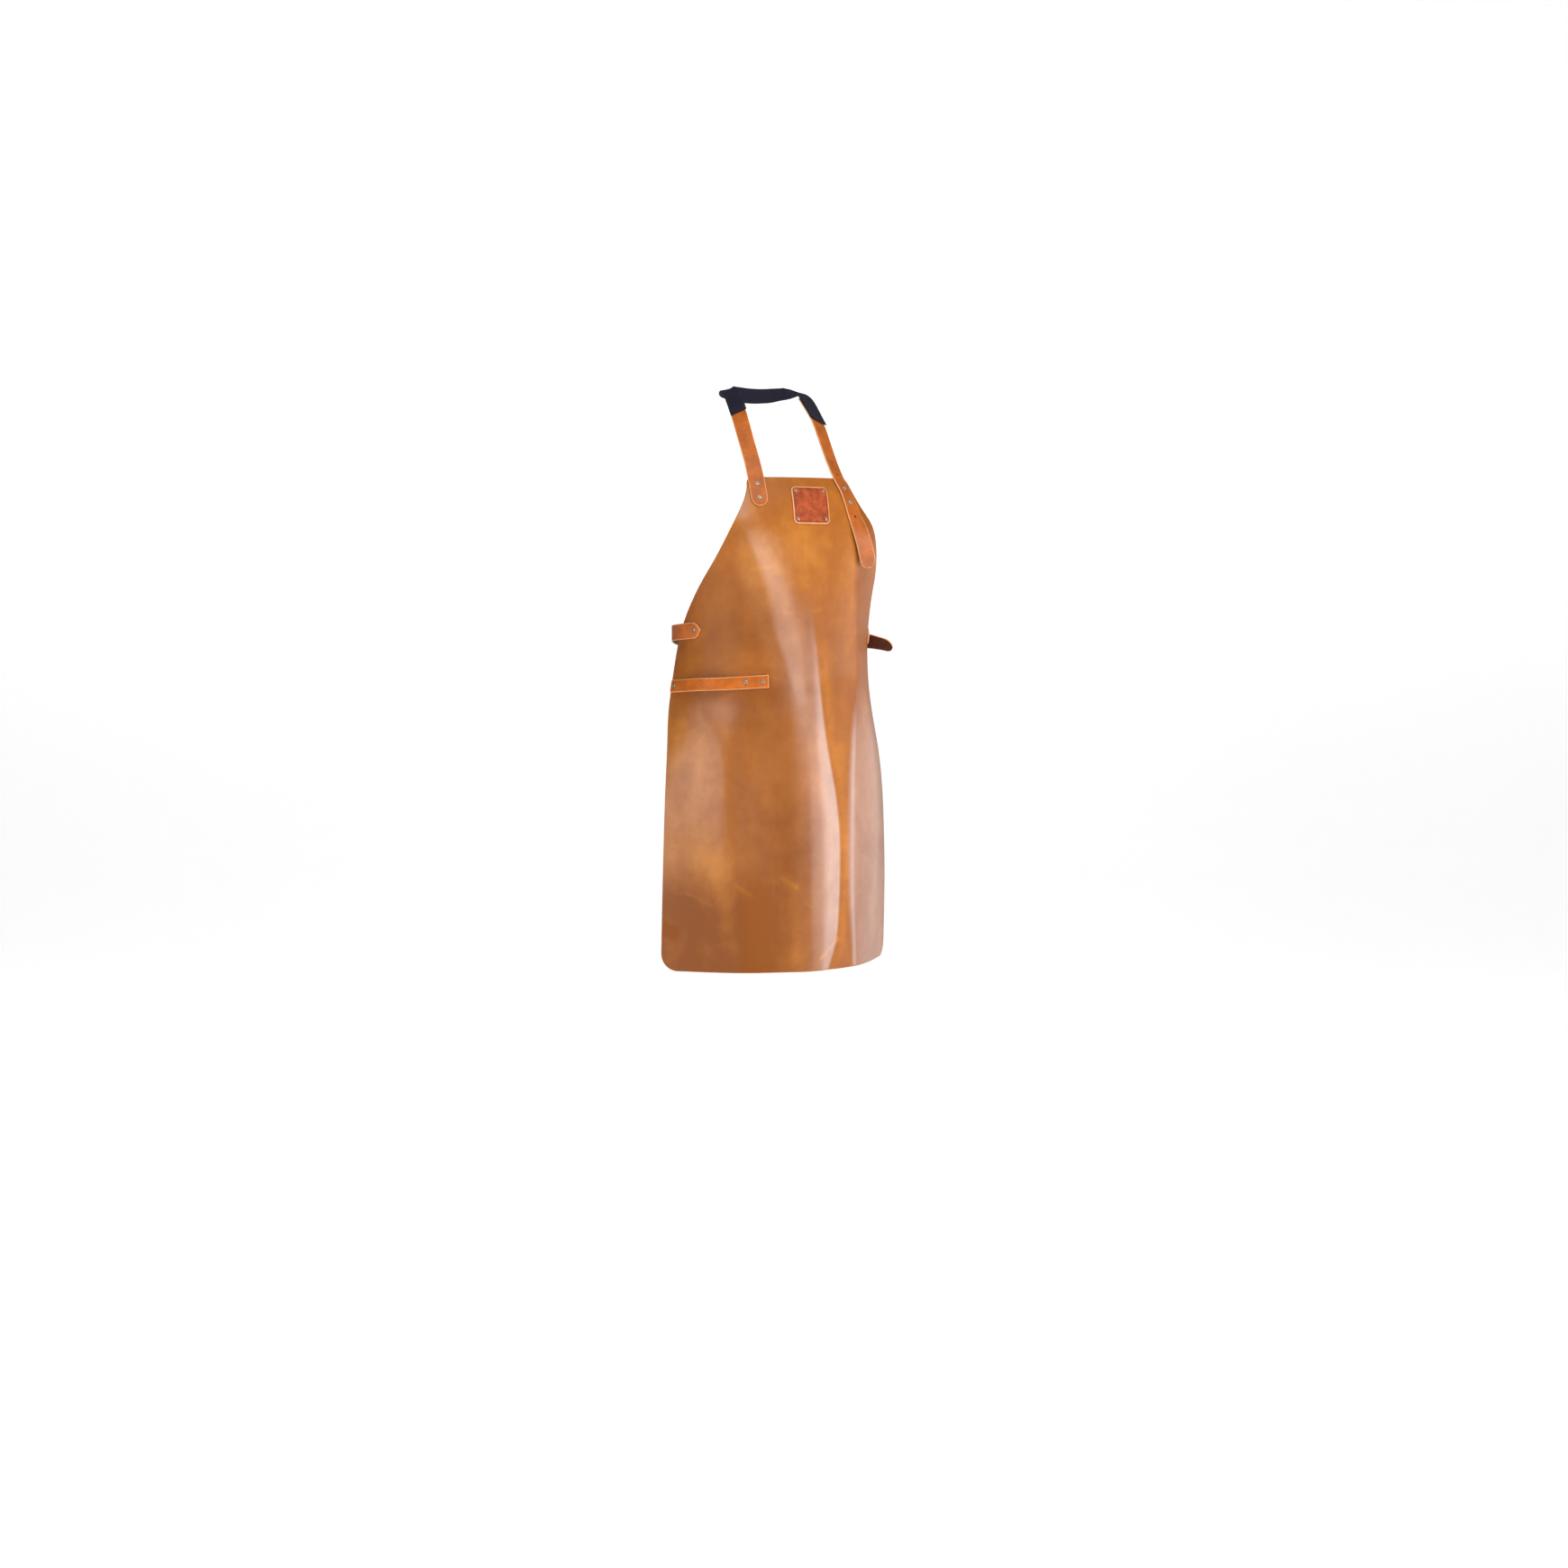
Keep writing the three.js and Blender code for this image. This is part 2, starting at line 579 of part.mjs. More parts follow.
function makeAdjustStrap() {
  const knots = [
    ...NECK_ROUTE.slice(BAND_LAST_ROW - 1).map(rowPlace),
    ...ADJUST_LAY.map(layPlace),
  ];
  const route = routeOf(knots);
  const body = strap(route, NECK_STRAP_WIDTH, STRAP_WALL, "square", "round");
  const onStuds = punched(body, ADJUST_STUDS.map(spotHole), RIVET_HOLE);
  const firstStud = onHide(ADJUST_STUDS[0].s, ADJUST_STUDS[0].z, GAP).point;
  const nearest = route.reduce((best, step) =>
    step.point.distanceTo(firstStud) < best.point.distanceTo(firstStud) ? step : best);
  const openHoles = ADJUST_OPEN_HOLES.map((k) => alongRoute(route, nearest.length + k * ADJUST_HOLE_PITCH));
  addPiece("neck_strap_adjust", punched(onStuds, openHoles, STRAP_HOLE_RADIUS), STRAP_LEATHER);
  ADJUST_STUDS.forEach((spot, k) => addFastener(`adjust_stud_${k + 1}`, RIVET, spot, NECK_TOP));
}

// The band lies over the ends of both straps and comes down to the nape between them
function makeBand() {
  const rows = NECK_ROUTE.slice(BAND_FIRST_ROW, BAND_LAST_ROW + 1);
  const onStrap = STRAP_WALL + 4 * GAP;
  const reach = NAPE_ROW - BAND_FIRST_ROW;
  const knots = rows.map((row, k) => {
    const fromNape = Math.abs(k + BAND_FIRST_ROW - NAPE_ROW) / reach;
    return raised(rowPlace(row), onStrap * smooth((fromNape - BAND_NAPE_SHARE) / BAND_RISE_SHARE));
  });
  const body = strap(routeOf(knots), BAND_WIDTH, BAND_WALL, "square", "square", BAND_SLANT);
  addPiece("neck_band", body, BAND_CLOTH);
}

function makeWaist() {
  const onTab = STRAP_WALL + GAP;
  const tabTop = GAP + TAB_LIFT + STRAP_WALL;
  const atStud = Math.PI - STUD_ANGLE;
  const tabEnd = Math.PI - SIDE_TAB_ANGLE;
  const ring = spread(RING_START, atStud, RING_KNOTS);
  const climbEnd = tabEnd - CLIMB_CLEARANCE;
  const climb = (angle) => onTab * smooth((angle - CLIMB_START) / (climbEnd - CLIMB_START));
  const knots = [
    ...tipToEdge(WAIST_TIP, WAIST_EDGE, TAB_KNOTS),
    ...ring.map((angle) => ringPlace(angle, climb(angle))),
    ringPlace(Math.PI - TAIL_ANGLE, onTab + TAIL_LIFT),
    ...TAIL_ROUTE.map(rowPlace),
  ];
  const studSeat = ringPlace(atStud, 0);
  const body = strap(routeOf(knots), WAIST_STRAP_WIDTH, STRAP_WALL, "point", "round");
  const fitted = punched(body, [spotHole(waistRivet), studSeat], RIVET_HOLE);
  addPiece("waist_strap", fitted, STRAP_LEATHER);
  addFastener("waist_rivet", RIVET, waistRivet, tabTop);

  const tabKnots = [
    ...tipToEdge(SIDE_TIP, SIDE_EDGE, TAB_KNOTS),
    ...spread(Math.PI - RING_START, tabEnd, TAB_KNOTS).map((angle) => ringPlace(angle, 0)),
  ];
  const tab = strap(routeOf(tabKnots), WAIST_STRAP_WIDTH, STRAP_WALL, "point", "round");
  addPiece("side_tab", punched(tab, [spotHole(sideRivet), studSeat], RIVET_HOLE), STRAP_LEATHER);
  addFastener("side_rivet", RIVET, sideRivet, tabTop);
  const studTop = ringPlace(atStud, onTab + STRAP_WALL);
  addPiece("waist_stud", fastener(STUD, studTop, 2 * STRAP_WALL + GAP), METAL);
}

// The loop lies on the hide at its rivets, and stands off it between the first two
function makeTowelLoop() {
  const [first, second] = LOOP_RIVETS;
  const knots = spread(LOOP_START.s, LOOP_END.s, LOOP_KNOTS).map((s) => {
    const t = THREE.MathUtils.clamp((s - first - LOOP_FLAT) / (second - first - 2 * LOOP_FLAT), 0, 1);
    const lift = GAP + LOOP_LIFT + LOOP_BULGE * Math.sin(Math.PI * t) ** 2;
    return onHide(s, tipHeight(LOOP_START, LOOP_END, s), lift);
  });
  const body = strap(routeOf(knots), LOOP_WIDTH, STRAP_WALL, "square", "square");
  addPiece("towel_loop", punched(body, towelRivets.map(spotHole), RIVET_HOLE), STRAP_LEATHER);
  const loopTop = GAP + LOOP_LIFT + STRAP_WALL;
  towelRivets.forEach((spot, k) => addFastener(`towel_rivet_${k + 1}`, RIVET, spot, loopTop));
}

makePanel();
makePatch();
makeFixedStrap();
makeAdjustStrap();
makeBand();
makeWaist();
makeTowelLoop();

export default apron;
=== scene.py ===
"""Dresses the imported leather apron: the worn hide with its folds, the straps, the neck band, the bare patch
and the rivets, in a plain pale studio. Metres, +Z up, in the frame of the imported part: the origin is the
middle of the neck band at the back, the front faces -Y, and +X is the left side as worn."""
import math

import bpy
import numpy as np
from bpy.props import FloatProperty, FloatVectorProperty, IntProperty, PointerProperty
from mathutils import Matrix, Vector


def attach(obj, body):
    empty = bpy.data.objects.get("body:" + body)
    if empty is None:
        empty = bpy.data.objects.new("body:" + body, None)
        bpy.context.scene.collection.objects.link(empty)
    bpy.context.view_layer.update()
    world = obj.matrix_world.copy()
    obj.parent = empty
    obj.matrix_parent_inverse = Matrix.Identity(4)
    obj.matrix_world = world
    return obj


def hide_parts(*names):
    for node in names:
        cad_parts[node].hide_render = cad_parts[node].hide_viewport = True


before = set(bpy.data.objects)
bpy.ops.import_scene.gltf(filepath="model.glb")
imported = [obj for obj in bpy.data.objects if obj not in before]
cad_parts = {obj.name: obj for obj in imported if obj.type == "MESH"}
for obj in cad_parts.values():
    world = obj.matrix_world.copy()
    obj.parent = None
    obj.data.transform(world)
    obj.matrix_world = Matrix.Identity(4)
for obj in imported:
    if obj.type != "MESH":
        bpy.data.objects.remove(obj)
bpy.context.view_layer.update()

bl_info = {
    "name": "Leather apron",
    "version": (1, 0, 0),
    "blender": (4, 5, 0),
    "location": "View3D > Sidebar > Apron",
    "description": "Builds the worn leather apron over its packed solids",
    "category": "Object",
}

# The hide: where the bib starts, the hem, the corners' radii, and how the columns crowd to the edges
BIB_TOP = -0.144
HEM = -0.978
BIB_CORNER = 0.011
HEM_CORNER = 0.030
EDGE_CROWDING = 0.8

# How the hide bends from its middle to its sides: height, y of the middle of the front, then the turn in
# degrees for each 0.1 m of leather, at the middle and at BEND_REACH from it
BEND_REACH = 0.250
BEND_STEPS = 24
BEND_UNIT = math.radians(1) / 0.1
BODY = np.array([
    (-0.978, -0.203, 30.0, -6.0),
    (-0.790, -0.200, 26.0, 7.0),
    (-0.620, -0.198, 25.0, 20.0),
    (-0.490, -0.196, 27.0, 43.0),
    (-0.410, -0.196, 26.0, 56.0),
    (-0.330, -0.195, 21.5, 61.0),
    (-0.230, -0.1885, 13.0, 50.0),
    (-0.190, -0.1835, 18.0, 49.0),
    (-0.165, -0.1765, 22.0, 48.5),
    (-0.144, -0.1665, 26.0, 48.0),
])
FRONT, FRONT_BEND, SIDE_BEND = 1, 2, 3

# The flat cut: height, and half the hide's width there
CUT = np.array([
    (-0.978, 0.268), (-0.700, 0.260), (-0.600, 0.2585), (-0.520, 0.265), (-0.445, 0.262), (-0.400, 0.244),
    (-0.344, 0.209), (-0.284, 0.170), (-0.224, 0.138), (-0.190, 0.118), (-0.164, 0.106), (-0.144, 0.101),
])
HALF = 1

# Soft folds: s along the leather from the middle, lean of s for each metre down, the heights where the fold
# starts, is full and ends, its width, and how far it stands out
FOLDS = [
    (0.128, 0.10, -0.165, -0.225, -0.310, 0.040, 0.0045),
    (-0.104, 0.36, -0.215, -0.330, -0.560, 0.042, 0.0030),
    (-0.015, 0.02, -0.350, -0.590, -1.700, 0.042, 0.0080),
    (-0.078, 0.02, -0.480, -0.780, -1.700, 0.055, -0.0050),
    (-0.178, 0.08, -0.500, -0.760, -1.060, 0.062, 0.0100),
]

# Sharper lines in the leather: rows of height, s and share of the line's rise; then for each line how far it
# stands off the hide, how far it fades to the right and to the left as worn, and the radius of its crest
FRONT_VALLEY = np.array([
    (-0.978, 0.030, 1), (-0.930, 0.050, 1), (-0.870, 0.058, 1), (-0.760, 0.061, 1), (-0.690, 0.053, 1),
    (-0.637, 0.041, 1), (-0.577, 0.028, 1.1), (-0.493, 0.017, 1.1), (-0.430, 0.010, 0.9),
    (-0.380, 0.002, 0.5), (-0.330, -0.006, 0),
])
THIGH_RIDGE = np.array([
    (-0.978, -0.100, 1), (-0.840, -0.125, 1), (-0.780, -0.134, 1), (-0.710, -0.141, 1), (-0.640, -0.152, 1),
    (-0.582, -0.167, 0.9), (-0.548, -0.188, 0.5), (-0.500, -0.240, 0),
])
SIDE_RIDGE = np.array([
    (-0.978, 0.101, 1), (-0.944, 0.099, 1), (-0.834, 0.089, 1), (-0.678, 0.090, 1), (-0.580, 0.098, 1),
    (-0.520, 0.110, 0.7), (-0.450, 0.116, 0.5), (-0.360, 0.110, 0.5), (-0.300, 0.108, 0),
])
CHEST_RIDGE = np.array([
    (-0.590, -0.014, 0), (-0.520, -0.030, 0.3), (-0.459, -0.050, 0.7), (-0.400, -0.071, 1),
    (-0.355, -0.084, 1), (-0.302, -0.099, 1), (-0.212, -0.122, 0.5), (-0.170, -0.132, 0),
])
LINES = [
    (FRONT_VALLEY, -0.0044, 0.030, 0.021, 0.003),
    (SIDE_RIDGE, 0.0035, 0.030, 0.040, 0.004),
    (THIGH_RIDGE, 0.0028, 0.045, 0.040, 0.006),
    (CHEST_RIDGE, 0.0028, 0.030, 0.036, 0.006),
]
ACROSS = 1
SHARE = 2

# Short creases where the leather was folded, two patches of painted sheen, and two marks that are dull and
# dark: a painted shadow at the waist and a dark spot near the hem's corner: s and height of one end and of
# the other, half width, how pale
CREASES = [
    (-0.218, -0.844, -0.176, -0.863, 0.0040, 0.8),
    (-0.134, -0.829, -0.112, -0.845, 0.0035, 1.0),
    (-0.056, -0.818, -0.031, -0.835, 0.0035, 0.9),
    # The brightest crease: pale from the fold, and partly a painted highlight along it
    (0.012, -0.957, 0.054, -0.927, 0.0032, 1.6),
    (-0.018, -0.862, -0.006, -0.868, 0.0030, 0.8),
    (-0.052, -0.371, -0.041, -0.373, 0.0030, 0.7),
    (0.004, -0.368, 0.018, -0.366, 0.0030, 0.8),
    (-0.110, -0.300, -0.070, -0.294, 0.0025, 0.5),
    # Two patches of painted sheen on the lower skirt
    (-0.172, -0.790, -0.140, -0.930, 0.0200, 1.0),
    (-0.034, -0.830, -0.034, -0.960, 0.0120, 0.6),
    # A painted shadow where the waist strap draws in the side; below it a dark spot near the hem's corner
    (0.132, -0.424, 0.170, -0.424, 0.0120, -1.8),
    (-0.262, -0.906, -0.246, -0.911, 0.0100, -1.2),
]


# Curves

def smooth(value):
    """Rises from 0 to 1 as value does, with no slope at either end: 3t squared less 2t cubed."""
    t = np.clip(value, 0, 1)
    return t * t * (3 - 2 * t)


def rises(value, start, reach):
    """0 up to start, 1 from start + reach on, and smooth between them. A reach below 0 rises downwards."""
    return smooth((value - start) / reach)


def bell(value, middle, width):
    """1 at the middle and less on both sides: e to the power of minus the squared distance in widths."""
    return np.exp(-((value - middle) / width) ** 2)


def dish(distance, reach):
    """A flat-bottomed dent, 1 in its middle: as a bell, but with the fourth power of the distance."""
    return np.exp(-(distance / reach) ** 4)


def quarter_round(distance, radius, least=0.0):
    """Rises as a quarter circle does, from a least share at an edge to 1 at the radius from it."""
    inside = 1 - np.clip(distance / radius, 0, 1)
    return least + (1 - least) * np.sqrt(1 - inside ** 2)


def unit(vectors):
    """Vectors over their own lengths."""
    return vectors / np.linalg.norm(vectors, axis=-1, keepdims=True)


def column(table, key, z):
    """A table's column at heights z: a cubic through its rows, whose slope at a row is that of the rows on
    both sides of it."""
    heights = table[:, 0]
    values = table[:, key]
    k = np.clip(np.searchsorted(heights, z) - 1, 0, len(heights) - 2)
    before = np.maximum(k - 1, 0)
    after = np.minimum(k + 2, len(heights) - 1)
    span = heights[k + 1] - heights[k]
    t = np.clip((z - heights[k]) / span, 0, 1)
    slope_a = (values[k + 1] - values[before]) / (heights[k + 1] - heights[before]) * span
    slope_b = (values[after] - values[k]) / (heights[after] - heights[k]) * span
    low = values[k] * (1 + 2 * t) * (1 - t) ** 2 + slope_a * t * (1 - t) ** 2
    return low + values[k + 1] * t * t * (3 - 2 * t) + slope_b * t * t * (t - 1)


# The hide's surface

def fold_height(s, z):
    """How far the leather stands off its plain bend: the sum of bell-shaped folds, whose crests drift with
    height, and of lines that fall away on both sides as a rounded exponential."""
    height = np.zeros(np.broadcast(s, z).shape)
    for crest, lean, start, full, end, width, rise in FOLDS:
        grown = rises(z, start, full - start) * (1 - rises(z, full, end - full))
        height = height + rise * bell(s, crest + lean * (start - z), width) * grown
    for path, rise, right, left, radius in LINES:
        away = s - column(path, ACROSS, z)
        reach = np.where(away < 0, right, left)
        fade = np.exp(-(np.sqrt(away ** 2 + radius ** 2) - radius) / reach)
        height = height + rise * fade * column(path, SHARE, z)
    return height


def hide_point(s, z):
    """Points of the hide's outer face: s along the leather from the middle, z the height. The turn grows with
    s and with its cube, and the plan is the mean direction of that turn times s."""
    s, z = np.broadcast_arrays(np.asarray(s, float), np.asarray(z, float))
    front = column(BODY, FRONT_BEND, z) * BEND_UNIT
    grows = (column(BODY, SIDE_BEND, z) * BEND_UNIT - front) / (3 * BEND_REACH ** 2)
    steps = (np.arange(BEND_STEPS) + 0.5) / BEND_STEPS
    along = s[..., None] * steps
    turns = front[..., None] * along + grows[..., None] * along ** 3
    turn = front * s + grows * s ** 3
    fold = fold_height(s, z)
    x = np.cos(turns).mean(-1) * s + np.sin(turn) * fold
    y = column(BODY, FRONT, z) + np.sin(turns).mean(-1) * s - np.cos(turn) * fold
    return np.stack([x, y, z], -1)


def hide_normal(s, z):
    """The outward direction: the cross product of a short step along the leather and a short step up."""
    reach = 0.0005
    along = hide_point(s + reach, z) - hide_point(s - reach, z)
    up = hide_point(s, z + reach) - hide_point(s, z - reach)
    return unit(np.cross(along, up))


def on_hide(s, z, lift):
    """Points at a height above the hide's outer face, with the directions that the hide looks in there."""
    s, z, lift = np.broadcast_arrays(np.asarray(s, float), np.asarray(z, float), np.asarray(lift, float))
    normal = hide_normal(s, z)
    return hide_point(s, z) + normal * lift[..., None], normal


def corner_loss(distance, radius):
    """What a round corner takes off the half width, at a distance from the edge that it rounds."""
    inside = np.clip(radius - distance, 0, radius)
    return radius - np.sqrt(radius * radius - inside * inside)


def half_width(z):
    """Half the hide's width at a height, less what the round corners take."""
    return column(CUT, HALF, z) - corner_loss(BIB_TOP - z, BIB_CORNER) - corner_loss(z - HEM, HEM_CORNER)


def edge_rows(steps, radius, count):
    """Distances from an edge: its close steps, then steps that go evenly round a corner."""
    corner = radius * (1 - np.cos(np.arange(count) / count * math.pi / 2))
    return np.concatenate([steps, steps[-1] + corner[1:]])


def edge_columns(half, share, steps):
    """Places across rows of a half width each: shares of the inside, and close steps along both edges."""
    inside = share * (half - steps[-1])
    return np.concatenate([steps[:-1] - half, inside, (half - steps[:-1])[:, ::-1]], axis=1)


# Meshes

def sheet_faces(rows, columns):
    """Quads of a closed sheet: the outer grid, the inner grid turned round, and the border between them."""
    at = np.arange(rows * columns).reshape(rows, columns)
    inner = at + rows * columns

    def cells(a, b, c, d):
        return np.stack([a, b, c, d], -1).reshape(-1, 4)

    return np.concatenate([
        cells(at[:-1, :-1], at[1:, :-1], at[1:, 1:], at[:-1, 1:]),
        cells(inner[:-1, :-1], inner[:-1, 1:], inner[1:, 1:], inner[1:, :-1]),
        cells(inner[:-1, 0], inner[1:, 0], at[1:, 0], at[:-1, 0]),
        cells(at[:-1, -1], at[1:, -1], inner[1:, -1], inner[:-1, -1]),
        cells(inner[0, :-1], at[0, :-1], at[0, 1:], inner[0, 1:]),
        cells(at[-1, :-1], inner[-1, :-1], inner[-1, 1:], at[-1, 1:]),
    ]).tolist()


def tube_faces(rings, around):
    """Quads between rings of points that close on themselves, and the two many-sided end faces."""
    at = np.arange(rings * around).reshape(rings, around)
    beside = np.roll(at, -1, axis=1)
    quads = np.stack([at[:-1], beside[:-1], beside[1:], at[1:]], -1).reshape(-1, 4)
    return quads.tolist() + [at[0, ::-1].tolist(), at[-1].tolist()]


def new_piece(name, points, faces, look, values=None, sharp=50.0):
    """A mesh object at the origin from points and faces, with named values kept at its points."""
    mesh = bpy.data.meshes.new(name)
    mesh.from_pydata(np.asarray(points).reshape(-1, 3).tolist(), [], faces)
    if mesh.validate():
        raise RuntimeError(f"{name}: the mesh has faces that can't be used")
    for key, value in (values or {}).items():
        value = np.asarray(value, np.float32)
        if value.shape[-1:] == (3,):
            mesh.attributes.new(key, "FLOAT_VECTOR", "POINT").data.foreach_set("vector", value.ravel())
        else:
            mesh.attributes.new(key, "FLOAT", "POINT").data.foreach_set("value", value.ravel())
    mesh.shade_smooth()
    mesh.set_sharp_from_angle(angle=math.radians(sharp))
    mesh.materials.append(look)
    piece = bpy.data.objects.new(name, mesh)
    bpy.context.scene.collection.objects.link(piece)
    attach(piece, "root")
    return piece


def stands_for(piece, slot, *nodes):
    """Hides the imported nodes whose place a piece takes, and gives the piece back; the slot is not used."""
    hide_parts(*nodes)
    return piece


def turned(outline, sides, point, normal):
    """An outline of radius and height turned about a direction through a point: rings of points."""
    normal = np.asarray(normal, float)
    helper = np.array([0.0, 0.0, 1.0]) if abs(normal[2]) < 0.9 else np.array([1.0, 0.0, 0.0])
    first = unit(np.cross(helper, normal))
    second = np.cross(normal, first)
    turn = np.arange(sides) / sides * 2 * math.pi
    ring = np.cos(turn)[:, None] * first + np.sin(turn)[:, None] * second
    outline = np.asarray(outline)
    return point + outline[:, 0, None, None] * ring[None] + outline[:, 1, None, None] * normal


PUNCH_REACH = 0.008
PUNCH_SIDES = 24


def punch(piece, places, radius):
    """Cuts round holes through a piece, along each place's direction."""
    cutters = []
    for point, normal in places:
        points = turned([(radius, -PUNCH_REACH), (radius, PUNCH_REACH)], PUNCH_SIDES, point, normal)
        mesh = bpy.data.meshes.new("punch")
        mesh.from_pydata(points.reshape(-1, 3).tolist(), [], tube_faces(2, PUNCH_SIDES))
        cutters.append(bpy.data.objects.new("punch", mesh))
    for cutter in cutters:
        bpy.context.scene.collection.objects.link(cutter)
        cut = piece.modifiers.new("punch", "BOOLEAN")
        cut.operation, cut.solver, cut.object = "DIFFERENCE", "EXACT", cutter
    seen = piece.evaluated_get(bpy.context.evaluated_depsgraph_get())
    made = bpy.data.meshes.new_from_object(seen)
    piece.modifiers.clear()
    piece.data = made
    for cutter in cutters:
        bpy.data.objects.remove(cutter)


# Straps

ROUTE_STEPS = 12
STRAP_STEP = 0.005
POINT_LENGTH = 0.015
END_CUTS = 14
SQUARE_STEPS = np.array([0.0, 0.0002, 0.0006, 0.0012, 0.0020, 0.0032])
END_ROUNDING = 0.0007
END_THICKNESS = 0.6
END_PALE = 0.0011

# A strap's section: insets from an edge on the top side and underneath, the share of the thickness there, how
# much of the pale cut edge and of the flesh side shows, and places in the middle as shares of the half width
PROFILE_INSETS = np.array([0.0, 0.0001, 0.0004, 0.0009, 0.0016, 0.0026])
PROFILE_RISE = np.array([0.60, 0.80, 0.92, 0.98, 1.0, 1.0])
PROFILE_PALE = np.array([1.0, 1.0, 0.85, 0.5, 0.15, 0.0])
PROFILE_MIDDLE = np.array([-0.75, -0.5, -0.25, 0.0, 0.25, 0.5, 0.75])
UNDER_INSETS = np.array([0.0, 0.0002, 0.0007, 0.0020])
UNDER_RISE = np.array([0.30, 0.10, 0.0, 0.0])
UNDER_PALE = np.array([1.0, 0.7, 0.2, 0.0])
UNDER_FLESH = np.array([0.0, 0.5, 1.0, 1.0])

# Rivet heads, and the dents that they press: depth, then in head radii the dent's reach and the place and
# width of the swelling round it, which is a share of the depth
RIVET_HEAD = 0.0040
SMALL_HEAD = 0.0029
STRAP_DENT = 0.0004
LOOP_DENT = 0.0005
DENT_REACH = 1.3
SWELL_AT = 2.0
SWELL_WIDTH = 0.6
SWELL_SHARE = 0.4


def profile():
    """Round a strap's section, over the top from its one edge to the other and back underneath: which edge a
    point belongs to, its inset from that edge, its share of the middle, its height share, and how much of
    the pale edge and of the flesh side it shows."""
    count, under = len(PROFILE_INSETS), len(UNDER_INSETS)
    none, full = np.zeros(len(PROFILE_MIDDLE)), np.ones(len(PROFILE_MIDDLE))

    def around(over, top, below, bottom):
        return np.concatenate([over, top, over[::-1], below, bottom, below[::-1]])

    side = np.concatenate([-np.ones(count), none, np.ones(count + under), none, -np.ones(under)])
    inset = around(PROFILE_INSETS, none, UNDER_INSETS, none)
    share = around(np.zeros(count), PROFILE_MIDDLE, np.zeros(under), PROFILE_MIDDLE[::-1])
    rise = around(PROFILE_RISE, full, UNDER_RISE, none)
    pale = around(PROFILE_PALE, none, UNDER_PALE, none)
    flesh = around(np.zeros(count), none, UNDER_FLESH, full)
    return side, inset, share, rise, pale, flesh


class Route:
    """A strap's route: the centripetal cubic through its knots, cut into short steps whose lengths add up."""

    def __init__(self, points, normals):
        ends = [2 * points[:1] - points[1:2], points, 2 * points[-1:] - points[-2:-1]]
        padded = np.concatenate(ends)
        last = len(points) - 2
        steps = np.arange((last + 1) * ROUTE_STEPS + 1) / ROUTE_STEPS
        low = np.minimum(steps.astype(int), last)
        t = (steps - low)[:, None]
        p0, p1, p2, p3 = (padded[low + k] for k in range(4))
        pairs = ((p0, p1), (p1, p2), (p2, p3))
        d0, d1, d2 = (np.linalg.norm(b - a, axis=1, keepdims=True) ** 0.5 for a, b in pairs)
        m1 = ((p1 - p0) / d0 - (p2 - p0) / (d0 + d1) + (p2 - p1) / d1) * d1
        m2 = ((p2 - p1) / d1 - (p3 - p1) / (d1 + d2) + (p3 - p2) / d2) * d1
        bend = (2 * p1 - 2 * p2 + m1 + m2) * t ** 3 + (3 * p2 - 3 * p1 - 2 * m1 - m2) * t ** 2
        self.point = bend + m1 * t + p1
        self.normal = unit(normals[low] * (1 - t) + normals[low + 1] * t)
        gaps = np.linalg.norm(np.diff(self.point, axis=0), axis=1)
        self.length = np.concatenate([[0.0], np.cumsum(gaps)])
        self.total = self.length[-1]

    def read(self, rows, lengths):
        return np.stack([np.interp(lengths, self.length, rows[:, k]) for k in range(3)], -1)

    def places(self, lengths):
        """Point, normal, tangent and sideways direction at lengths along the route."""
        reach = 0.0015
        ahead = self.read(self.point, np.minimum(lengths + reach, self.total))
        tangent = unit(ahead - self.read(self.point, np.maximum(lengths - reach, 0)))
        side = unit(np.cross(tangent, self.read(self.normal, lengths)))
        return self.read(self.point, lengths), unit(np.cross(side, tangent)), tangent, side

    def nearest(self, point):
        """Length along the route of the step that is nearest to a point."""
        return self.length[np.argmin(np.linalg.norm(self.point - point, axis=1))]

    def lean(self, lengths, width):
        """How far a slanted cut leans: 1 at the start and -1 at the end, fading over a strap's width."""
        from_start = np.maximum(0, 1 - lengths / width)
        return from_start - np.maximum(0, 1 - (self.total - lengths) / width)


def end_steps(kind, half):
    """Distances from a strap's end that are close together where its outline or its edge turns."""
    if kind == "round":
        return half * (1 - np.cos(np.linspace(0.06, math.pi / 2, END_CUTS)))
    if kind == "point":
        return POINT_LENGTH * np.linspace(0.012, 1, END_CUTS) ** 1.4
    return SQUARE_STEPS


def end_share(kind, distance, half):
    """How much of a strap's half width is left near its end: a half circle, a blunt point, or all of it."""
    if kind == "round":
        return quarter_round(distance, half)
    if kind == "point":
        return 1 - (1 - np.clip(distance / POINT_LENGTH, 0, 1)) ** 2
    return np.ones_like(distance)


